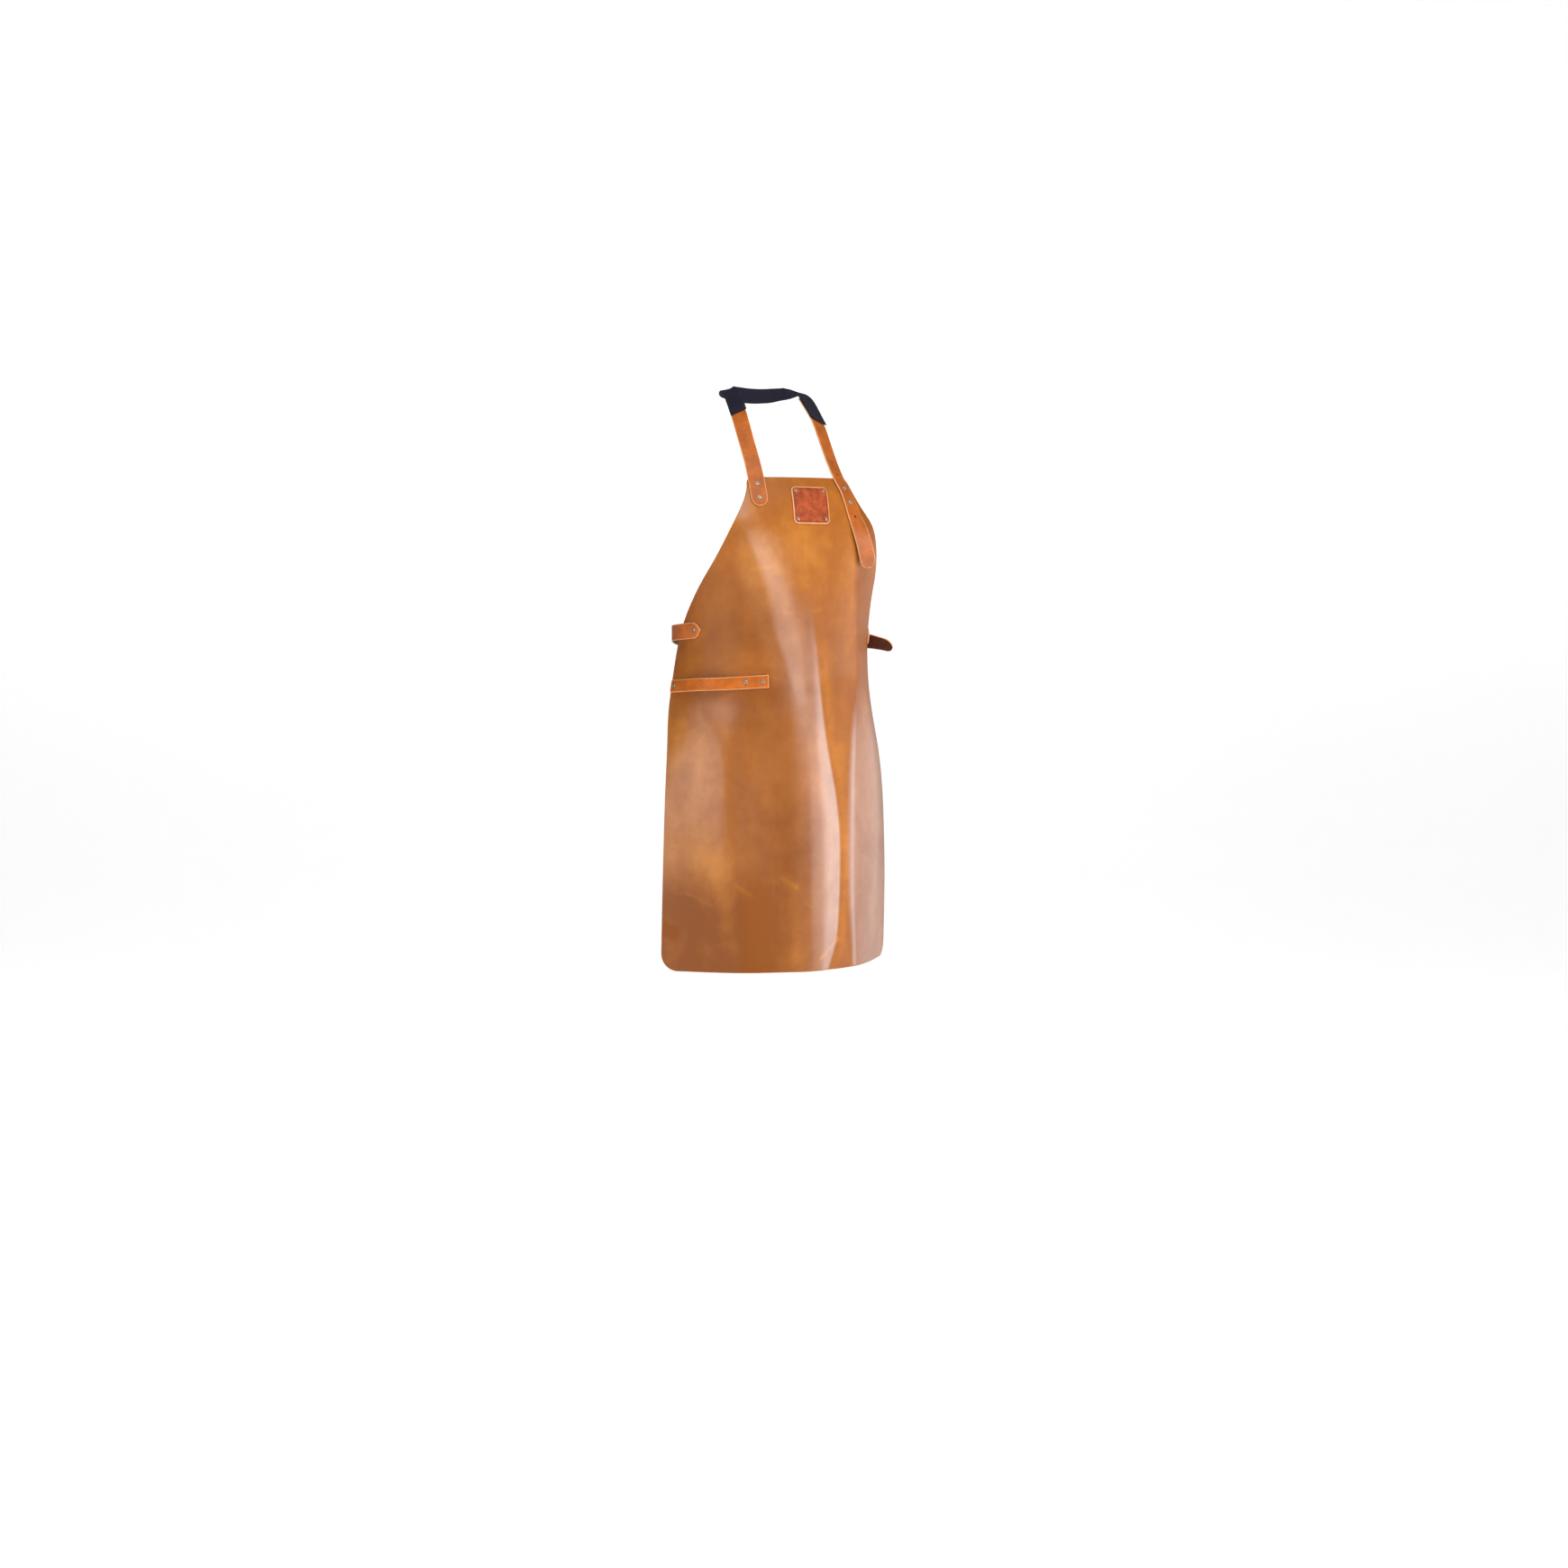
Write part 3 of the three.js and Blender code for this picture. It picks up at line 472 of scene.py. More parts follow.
def strap(name, route, width, wall, ends, look, slant=0.0, dents=()):
    """A flat strap whose inner face lies on the route: a section with round edges carried along it, narrowed
    to its ends, and pressed down around the rivets in dents (length along, depth)."""
    half = width / 2
    first, last = end_steps(ends[0], half), end_steps(ends[1], half)
    count = max(2, round((route.total - first[-1] - last[-1]) / STRAP_STEP))
    middle = np.linspace(first[-1], route.total - last[-1], count)[1:-1]
    lengths = np.concatenate([first, middle, route.total - last[::-1]])
    point, out, tangent, sideways = route.places(lengths)
    share = end_share(ends[0], lengths, half) * end_share(ends[1], route.total - lengths, half)
    side, inset, mid, rise, pale, flesh = profile()
    reach = (half * share)[:, None]
    squeeze = np.minimum(1, reach / (2 * PROFILE_INSETS[-1]))
    across = side * (reach - inset * squeeze) + mid * (reach - PROFILE_INSETS[-1] * squeeze)
    to_end = np.minimum(lengths, route.total - lengths)[:, None]
    thick = quarter_round(to_end, END_ROUNDING, END_THICKNESS)
    height = wall * (0.5 + (rise - 0.5) * thick)
    for length, depth in dents:
        away = np.hypot(lengths[:, None] - length, across) / RIVET_HEAD
        swell = SWELL_SHARE * bell(away, SWELL_AT, SWELL_WIDTH)
        height = height - depth * rise * (dish(away, DENT_REACH) - swell)
    cut = (slant * route.lean(lengths, width))[:, None] * across / half
    rings = point[:, None] + sideways[:, None] * across[..., None] + out[:, None] * height[..., None]
    rings = rings + tangent[:, None] * cut[..., None]
    at_end = bell(to_end, 0.0, END_PALE) * (1 - flesh)
    values = {
        "pale": np.maximum(np.broadcast_to(pale, across.shape), at_end),
        "flesh": np.broadcast_to(flesh, across.shape),
        "lies": np.stack(np.broadcast_arrays(lengths[:, None] + cut, across, height), -1),
    }
    return new_piece(name, rings, tube_faces(*across.shape), look, values)


def leather_strap(name, node, route, width, wall, ends, look, dents, holes=()):
    """A strap of leather that takes the place of a packed one, with holes at places (point, direction)."""
    piece = strap(name, route, width, wall, ends, look, dents=dents)
    if holes:
        punch(piece, holes, STRAP_HOLE_RADIUS)
    return stands_for(piece, "strap_leather", node)


# Where the straps run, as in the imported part: place and outward direction of each knot
GAP = 0.0003
TAB_LIFT = 0.00065
NECK_LIFT = 0.0002
LOOP_LIFT = 0.0002
LOOP_BULGE = 0.012
BAND_SLANT = 0.006
BAND_CLEARANCE = 4 * GAP
NECK_ROUTE = np.array([
    (-0.0825, -0.136, -0.117, -0.22, -0.80, 0.56), (-0.0815, -0.116, -0.085, -0.20, -0.60, 0.77),
    (-0.0770, -0.0815, -0.037, -0.24, -0.30, 0.92), (-0.0710, -0.050, -0.007, -0.20, -0.15, 0.97),
    (-0.067, -0.028, 0.003, -0.20, -0.10, 0.97), (-0.057, -0.009, 0.004, -0.42, 0.42, 0.80),
    (-0.034, -0.001, 0.002, -0.20, 0.75, 0.63), (0.000, 0.000, 0.000, 0.00, 0.80, 0.60),
    (0.034, -0.001, 0.002, 0.20, 0.75, 0.63), (0.057, -0.009, 0.004, 0.42, 0.42, 0.80),
    (0.067, -0.028, 0.003, 0.20, -0.10, 0.97), (0.070, -0.050, -0.007, 0.20, -0.45, 0.87),
    (0.0720, -0.091, -0.048, 0.26, -0.62, 0.74), (0.0710, -0.118, -0.085, 0.26, -0.71, 0.65),
    (0.0725, -0.137, -0.117, 0.28, -0.79, 0.54),
])
BAND_FIRST_ROW = 2
BAND_LAST_ROW = len(NECK_ROUTE) - 3
NAPE_ROW = 7
BAND_NAPE_SHARE = 0.2
BAND_RISE_SHARE = 0.4

# How the neck straps lie on the bib: s, height, lift, twist in degrees
FIXED_LAY = np.array([
    (-0.0855, -0.146, NECK_LIFT, 0), (-0.0865, -0.156, NECK_LIFT, 0), (-0.0870, -0.165, NECK_LIFT, 0),
    (-0.0875, -0.180, NECK_LIFT, 0), (-0.0875, -0.1935, NECK_LIFT, 0),
])
ADJUST_LAY = np.array([
    (0.0775, -0.146, NECK_LIFT, 0), (0.0835, -0.162, NECK_LIFT, 0), (0.0876, -0.176, NECK_LIFT, 0),
    (0.0899, -0.186, NECK_LIFT, 0), (0.0940, -0.206, 0.0008, -2), (0.1010, -0.232, 0.0045, -12),
    (0.1100, -0.262, 0.0090, -24), (0.1200, -0.294, 0.0120, -32),
])
FIXED_RIVETS = [(-0.0865, -0.157), (-0.0875, -0.180)]
ADJUST_STUDS = [(0.0835, -0.162), (0.0897, -0.185)]
ADJUST_HOLE_PITCH = 0.026
ADJUST_OPEN_HOLES = (-2, -1, 2)
STRAP_HOLE_RADIUS = 0.0021

# The waist strap's ring behind the panel's edges, and the tips and edges of the strap and tab on the hide
RING = {
    "half_width": 0.1796,
    "middle": -0.060,
    "back": 0.068,
    "z_right": -0.405,
    "z_back": -0.430,
    "z_left": -0.421,
}
WAIST_TIP, WAIST_EDGE = (-0.196, -0.400), (-0.244, -0.404)
SIDE_TIP, SIDE_EDGE = (0.196, -0.412), (0.246, -0.4185)
WAIST_RIVET_S = -0.210
SIDE_RIVET_S = 0.210
TAB_KNOTS = 6
RING_START = 0.1
RING_KNOTS = 14
SIDE_TAB_ANGLE = 0.62
STUD_ANGLE = 0.4
TAIL_ANGLE = 0.28
TAIL_LIFT = 0.0009
CLIMB_START = 0.6
CLIMB_CLEARANCE = 0.12
TAIL_ROUTE = np.array([
    (0.1865, -0.054, -0.4225, 0.98, 0.15, 0.12), (0.193, -0.076, -0.425, 0.90, 0.30, 0.40),
    (0.203, -0.095, -0.429, 0.78, 0.34, 0.55), (0.213, -0.111, -0.434, 0.70, 0.36, 0.62),
])

# The towel loop on the right hip
LOOP_START, LOOP_END = (-0.263, -0.497), (-0.078, -0.486)
LOOP_RIVETS = (-0.254, -0.116, -0.088)
LOOP_FLAT = 0.008
LOOP_KNOTS = 26

# The patch: s and height of its middle, its size, corners and tilt, and the dent under each of its rivets
PATCH_S, PATCH_Z = 0.005, -0.1915
PATCH_WIDTH, PATCH_HEIGHT = 0.070, 0.062
PATCH_CORNER = 0.008
PATCH_TILT = math.radians(-0.5)
PATCH_WALL = 0.0022
PATCH_RIVET_INSET = 0.0075
PATCH_DENT = 0.0006


def rows_of(table):
    """The places and the outward directions in a table of knots."""
    return table[:, :3], unit(table[:, 3:])


def lay_knots(table):
    """Knots of a strap on the hide, their direction turned about the upright by the twist."""
    points, normals = on_hide(table[:, 0], table[:, 1], GAP + table[:, 2])
    turn = np.radians(table[:, 3])
    x = normals[:, 0] * np.cos(turn) - normals[:, 1] * np.sin(turn)
    y = normals[:, 0] * np.sin(turn) + normals[:, 1] * np.cos(turn)
    return points, np.stack([x, y, normals[:, 2]], -1)


def tip_height(tip, edge, s):
    """Height at which the straight line from a tip to an edge passes a distance along the leather."""
    return tip[1] + (edge[1] - tip[1]) * (s - tip[0]) / (edge[0] - tip[0])


def tip_knots(tip, edge):
    """Knots on the hide at even steps along the straight line from a tip to an edge."""
    s = np.linspace(tip[0], edge[0], TAB_KNOTS + 1)
    return on_hide(s, tip_height(tip, edge, s), GAP + TAB_LIFT)


def ring_knots(angle, lift):
    """Knots on the waist ring, an ellipse in plan that is lower at the back: angle 0 at the right side."""
    angle = np.atleast_1d(np.asarray(angle, float))
    depth = RING["back"] - RING["middle"]
    right = angle < math.pi / 2
    dip = smooth(np.where(right, angle, math.pi - angle) / (math.pi / 2))
    end = np.where(right, RING["z_right"], RING["z_left"])
    z = end + (RING["z_back"] - end) * dip
    wide = RING["half_width"]
    normal = unit(np.stack([-np.cos(angle) * depth, np.sin(angle) * wide, np.zeros_like(angle)], -1))
    point = np.stack([-wide * np.cos(angle), RING["middle"] + depth * np.sin(angle), z], -1)
    return point + normal * np.reshape(GAP + lift, (-1, 1)), normal


def joined(*knots):
    """One route through several runs of knots."""
    return Route(np.concatenate([k[0] for k in knots]), np.concatenate([k[1] for k in knots]))


def dents_at(route, spots, depth):
    """Dents of one depth where a route passes rivets on the hide."""
    return [(route.nearest(on_hide(*spot, GAP)[0]), depth) for spot in spots]


def loop_spots():
    """s and height of the towel loop's rivets, which lie on the straight line between its ends."""
    return [(s, tip_height(LOOP_START, LOOP_END, s)) for s in LOOP_RIVETS]


def patch_spot(across, up):
    """s and height of a place on the patch, measured from its middle and turned with it."""
    s = PATCH_S + across * math.cos(PATCH_TILT) - up * math.sin(PATCH_TILT)
    return s, PATCH_Z + across * math.sin(PATCH_TILT) + up * math.cos(PATCH_TILT)


def patch_rivets():
    """Places of the patch's four rivets, measured from its middle."""
    wide = PATCH_WIDTH / 2 - PATCH_RIVET_INSET
    tall = PATCH_HEIGHT / 2 - PATCH_RIVET_INSET
    return [(across * wide, up * tall) for across, up in ((-1, 1), (1, 1), (-1, -1), (1, -1))]


# Shader nodes

class Wire:
    """One output of a node in a material. Arithmetic on it adds Math nodes, and add() makes other nodes."""

    def __init__(self, tree, socket=None):
        self.tree = tree
        self.socket = socket

    def add(self, kind, settings=None, sockets=None, output=0):
        """A node of a kind: its settings first, a ramp's stops among them, then its sockets' values or
        links."""
        node = self.tree.nodes.new("ShaderNode" + kind)
        for key, value in (settings or {}).items():
            if key == "stops":
                ramp = node.color_ramp
                while len(ramp.elements) < len(value):
                    ramp.elements.new(1.0)
                for element, (place, colour) in zip(ramp.elements, value):
                    element.position = place
                    element.color = (*colour, 1.0)
            else:
                setattr(node, key, value)
        for key, value in (sockets or {}).items():
            if isinstance(value, Wire):
                self.tree.links.new(value.socket, node.inputs[key])
            else:
                node.inputs[key].default_value = value
        return Wire(self.tree, node.outputs[output])

    def math(self, operation, other, turned_round=False):
        first, second = (other, self) if turned_round else (self, other)
        return self.add("Math", {"operation": operation}, {0: first, 1: second})

    def __add__(self, other):
        return self.math("ADD", other)

    __radd__ = __add__

    def __mul__(self, other):
        return self.math("MULTIPLY", other)

    __rmul__ = __mul__

    def __sub__(self, other):
        return self.math("SUBTRACT", other)

    def __rsub__(self, other):
        return self.math("SUBTRACT", other, turned_round=True)

    def waves(self, pitch):
        """Sine waves of a pitch along this value."""
        return self.add("Math", {"operation": "SINE"}, {0: self * (2 * math.pi / pitch)})

    def ramp(self, low, high):
        """0 below low, 1 above high, and smooth between them."""
        settings = {"interpolation_type": "SMOOTHSTEP"}
        return self.add("MapRange", settings, {"Value": self, "From Min": low, "From Max": high})

    def blend(self, first, second):
        """A colour between two, by this value."""
        sockets = {0: self, 6: rgba(first), 7: rgba(second)}
        return self.add("Mix", {"data_type": "RGBA"}, sockets, output=2)


def rgba(colour):
    return colour if isinstance(colour, Wire) else (*colour, 1.0)


def shades(colour, *shares):
    """A colour times each of the shares, no lighter than white."""
    return [tuple(min(1.0, c * share) for c in colour) for share in shares]


class Look:
    """A new material: its Object coordinates, its mesh values, noises on them, and its Principled shader."""

    def __init__(self, name):
        self.material = bpy.data.materials.new(name)
        self.material.use_nodes = True
        self.tree = self.material.node_tree
        self.shader = self.tree.nodes["Principled BSDF"]
        self.start = Wire(self.tree)
        self.place = self.start.add("TexCoord", output="Object")

    def value(self, name, output="Fac"):
        return self.start.add("Attribute", {"attribute_name": name}, output=output)

    def split(self, vector):
        node = self.start.add("SeparateXYZ", sockets={0: vector}).socket.node
        return [Wire(self.tree, output) for output in node.outputs]

    def noise(self, scale, detail=3.0, stretch=None, roughness=0.55, distortion=0.0):
        place = self.place
        if stretch:
            place = self.start.add("Mapping", sockets={"Vector": place, "Scale": stretch})
        sockets = {"Vector": place, "Scale": scale, "Detail": detail}
        sockets.update({"Roughness": roughness, "Distortion": distortion})
        return self.start.add("TexNoise", sockets=sockets)

    def cells(self, scale):
        return self.start.add("TexVoronoi", sockets={"Vector": self.place, "Scale": scale})

    def bump(self, height, distance, strength):
        sockets = {"Height": height, "Distance": distance, "Strength": strength}
        return self.start.add("Bump", sockets=sockets)

    def finish(self, links, **constants):
        """Links what changes over the surface, sets what does not, and gives the material."""
        for key, wire in links.items():
            self.tree.links.new(wire.socket, self.shader.inputs[key])
        for key, value in constants.items():
            socket = key.replace("_", " ").title().replace("Ior", "IOR")
            self.shader.inputs[socket].default_value = value
        return self.material


def hide_look(settings):
    """Waxed leather: clouded, mottled and drawn-out tones, warmer on the bib and lighter where it is creased
    and stretched, with painted shade and painted highlights in the tone, thin scratches, a fine grain, and a
    coat of wax as strong as the polish times the clouds and mottle."""
    look = Look("waxed_hide")
    pale, flesh = look.value("pale"), look.value("flesh")
    polish, pulled = look.value("polish"), look.value("pulled")
    clouds = look.noise(scale=7.0, detail=4.0, distortion=0.6)
    mottle = look.noise(scale=38.0, detail=5.0, roughness=0.65)
    drawn = look.noise(scale=16.0, stretch=(1.6, 1.6, 0.35))
    bib = look.split(look.place)[2].ramp(-0.46, -0.18)
    # The tone takes in the stretch that lightens the leather, and also painted shade and painted highlights
    tone = clouds * 0.75 + mottle * 0.36 + drawn * 0.35 + bib * 0.30 + pulled * 0.20 - 0.34
    stops = [(0.18, settings.deep), (0.48, settings.middle), (0.80, settings.light)]
    colour = look.start.add("ValToRGB", {"stops": stops}, {"Fac": tone})
    scratches = look.noise(scale=120.0, detail=2.0, stretch=(1.0, 1.0, 0.12)).ramp(0.70, 0.80)
    colour = (scratches * 0.18).blend(colour, settings.light)
    inside = look.noise(scale=420.0).ramp(0.3, 0.7).blend(settings.flesh, settings.flesh_light)
    colour = flesh.blend(colour, inside)
    colour = (pale * (1 - 0.5 * flesh)).blend(colour, settings.edge)
    grain = look.noise(scale=170.0, detail=2.0, roughness=0.5)
    rough = 0.42 + 0.15 * mottle + 0.25 * flesh + 0.1 * pale
    coat = polish * (0.45 + 0.5 * mottle + 0.6 * clouds) * (1 - flesh)
    links = {"Base Color": colour, "Roughness": rough, "Coat Weight": coat}
    links["Normal"] = look.bump(grain, distance=0.0001, strength=0.4)
    return look.finish(links, specular_ior_level=0.2, coat_roughness=0.285, coat_ior=1.7)


def strap_look(name, settings, tint=1.0, wax=0.0):
    """Bridle leather: even orange brown with a pale cut edge, a fine grain and a dark flesh side, whose
    darkness is partly its own colour and partly painted shade.
    """
    look = Look(name)
    pale, flesh = look.value("pale"), look.value("flesh")
    mottle = look.noise(scale=45.0, detail=4.0, roughness=0.6)
    fine = look.noise(scale=300.0)
    tone = mottle * 0.7 + fine * 0.3
    colour = tone.ramp(0.28, 0.72).blend(*shades(settings.colour, 0.72 * tint, 1.22 * tint))
    # The flesh side's dark colour is partly painted shade
    inside = fine.ramp(0.3, 0.7).blend(*shades(settings.flesh, 1.0, 1.7))
    colour = flesh.blend(colour, inside)
    colour = pale.ramp(0.15, 0.75).blend(colour, settings.edge)
    grain = look.cells(1100.0) * 0.3 + look.noise(scale=240.0, detail=4.0) * 0.7
    rough = 0.40 + 0.14 * mottle + 0.35 * flesh + 0.12 * pale
    links = {"Base Color": colour, "Roughness": rough}
    links["Normal"] = look.bump(grain, distance=0.00025, strength=0.5)
    return look.finish(links, specular_ior_level=0.28, coat_weight=wax, coat_roughness=0.34)


def patch_look(settings):
    """Red-brown leather, darker in the pressed line, with a pale cut edge."""
    look = Look("patch_leather")
    pale, pressed = look.value("pale"), look.value("pressed")
    mottle = look.noise(scale=90.0, detail=4.0)
    colour = mottle.ramp(0.3, 0.7).blend(*shades(settings.patch, 0.70, 1.35))
    colour = (pressed * 0.75).blend(colour, *shades(settings.patch, 0.35))
    colour = pale.ramp(0.1, 0.8).blend(colour, settings.edge)
    grain = look.cells(1300.0) * 0.4 + look.noise(scale=350.0, detail=4.0) * 0.6
    rough = 0.34 + 0.2 * mottle + 0.1 * pale
    links = {"Base Color": colour, "Roughness": rough}
    links["Normal"] = look.bump(grain, distance=0.0003, strength=0.6)
    return look.finish(links, specular_ior_level=0.3)


def band_look(settings):
    """Twill webbing: ribs that cross the band on a slant, worked out from the place along and across it."""
    look = Look("twill_band")
    along, across = look.split(look.value("lies", "Vector"))[:2]
    ribs = (along + across * 0.9).waves(pitch=0.0021)
    picks = (along * 0.35 - across).waves(pitch=0.0013)
    weave = ribs * 0.5 + picks * 0.3
    fuzz = look.noise(scale=500.0)
    tone = (weave * 0.35 + fuzz * 0.8).ramp(0.0, 0.9)
    colour = tone.blend(*shades(settings.colour, 0.55, 1.7))
    links = {"Base Color": colour, "Normal": look.bump(weave + fuzz * 0.4, distance=0.0003, strength=0.8)}
    return look.finish(links, roughness=0.95, specular_ior_level=0.12, sheen_weight=0.04, sheen_roughness=0.4)


def thread_look(settings):
    """Waxed thread with a twist that runs round each stitch."""
    look = Look("waxed_thread")
    twist = look.noise(scale=900.0, detail=2.0, stretch=(1.0, 0.5, 1.0))
    colour = twist.blend(*shades(settings.thread, 0.7, 1.5))
    links = {"Base Color": colour, "Normal": look.bump(twist, distance=0.0002, strength=0.6)}
    return look.finish(links, roughness=0.6)


def metal_look(settings):
    """Old nickel: bright on the rim, duller and darker in the hollow, with fine pits."""
    look = Look("old_nickel")
    hollow = look.value("hollow")
    stain = look.noise(scale=420.0, detail=4.0)
    colour = stain.ramp(0.35, 0.7).blend(*shades(settings.colour, 0.6, 1.0))
    colour = hollow.blend(colour, *shades(settings.colour, 0.55))
    rough = 0.34 + 0.2 * stain + 0.2 * hollow
    links = {"Base Color": colour, "Roughness": rough}
    links["Normal"] = look.bump(look.noise(scale=1500.0), distance=0.0001, strength=0.4)
    return look.finish(links, metallic=0.8)


def stage_look(settings):
    """Plain pale paper with the faintest mottle, which shines a little by itself."""
    look = Look("pale_paper")
    tone = look.noise(scale=2.0, detail=2.0).blend(*shades(settings.paper, 0.985, 1.0))
    glow, strength = (*settings.paper, 1.0), settings.glow
    return look.finish({"Base Color": tone}, roughness=0.9, emission_color=glow, emission_strength=strength)


# Settings

def colour_setting(name, description, default):
    return FloatVectorProperty(name=name, description=description, default=default, subtype="COLOR",
                               min=0, max=1)


def size_setting(name, description, default):
    return FloatProperty(name=name, description=description, default=default, unit="LENGTH", precision=5)


def number_setting(name, description, default):
    return FloatProperty(name=name, description=description, default=default)


class ApronHideSettings(bpy.types.PropertyGroup):
    wall: size_setting("Wall", "Thickness of the hide", 0.0022)
    columns: IntProperty(name="Columns", description="Cells across the hide", default=168, min=20, max=200)
    rows: IntProperty(name="Rows", description="Cells down the hide", default=210, min=20, max=260)
    # Painted shade takes the hide's tone towards the deep colour, and painted highlights take it towards the
    # light colour
    deep: colour_setting("Deep colour", "Darkest colour of the hide", (0.300, 0.085, 0.012))
    middle: colour_setting("Middle colour", "Main colour of the hide", (0.42, 0.130, 0.017))
    light: colour_setting("Light colour", "Colour where the wax is pulled", (0.62, 0.222, 0.028))
    edge: colour_setting("Edge colour", "Colour of the cut edge", (0.52, 0.20, 0.075))
    flesh: colour_setting("Flesh side", "Dark colour of the inner face", (0.25, 0.125, 0.06))
    flesh_light: colour_setting("Flesh side, light", "Light colour of the inner face", (0.40, 0.22, 0.115))


class ApronStrapSettings(bpy.types.PropertyGroup):
    wall: size_setting("Wall", "Thickness of the straps", 0.0026)
    neck_width: size_setting("Neck strap width", "Width of both neck straps", 0.028)
    waist_width: size_setting("Waist strap width", "Width of the waist strap and its tab", 0.027)
    loop_width: size_setting("Towel loop width", "Width of the towel loop", 0.0215)
    colour: colour_setting("Colour", "Main colour of the straps", (0.59, 0.142, 0.013))
    patch: colour_setting("Patch colour", "Main colour of the patch", (0.385, 0.070, 0.019))
    edge: colour_setting("Edge colour", "Colour of the cut edges", (0.90, 0.44, 0.19))
    # Dark flesh side: partly the leather's own colour, partly painted shade for the tail that shows it in
    # shade
    flesh: colour_setting("Flesh side", "Colour of the inner faces", (0.075, 0.022, 0.011))


class ApronBandSettings(bpy.types.PropertyGroup):
    width: size_setting("Width", "Width of the neck band", 0.030)
    wall: size_setting("Wall", "Thickness of the neck band", 0.0024)
    stitch: size_setting("Stitch", "Length of a stitch", 0.0030)
    colour: colour_setting("Colour", "Colour of the cloth", (0.018, 0.016, 0.030))
    thread: colour_setting("Thread", "Colour of the thread", (0.030, 0.028, 0.055))


class ApronMetalSettings(bpy.types.PropertyGroup):
    colour: colour_setting("Colour", "Colour of the rivets", (0.66, 0.56, 0.45))
    sides: IntProperty(name="Sides", description="Sides of a rivet", default=28, min=8, max=64)


class ApronStageSettings(bpy.types.PropertyGroup):
    floor: size_setting("Floor", "Height of the floor", -1.56)
    paper: colour_setting("Paper", "Colour of the floor and backdrop", (0.86, 0.86, 0.86))
    glow: number_setting("Glow", "How much the paper shines by itself", 0.72)
    lens: number_setting("Lens", "Focal length in mm on a 36 mm sensor", 66.3)
    world: number_setting("Room light", "Strength of the even light", 0.10)
    key: number_setting("Key light", "Brightness of the high soft box", 5.8)
    front: number_setting("Front light", "Brightness of the front soft box", 4.0)
    fill: number_setting("Fill light", "Brightness of the dim soft box beside it", 2.4)
    band: number_setting("Band light", "Brightness of the narrow soft box", 5.0)
    side: number_setting("Side light", "Brightness of the wide soft box beside that", 1.1)
    back: number_setting("Back light", "Brightness of the soft box behind", 0.3)
    left: number_setting("Left light", "Brightness of the soft box on the other side", 2.4)


# Pieces

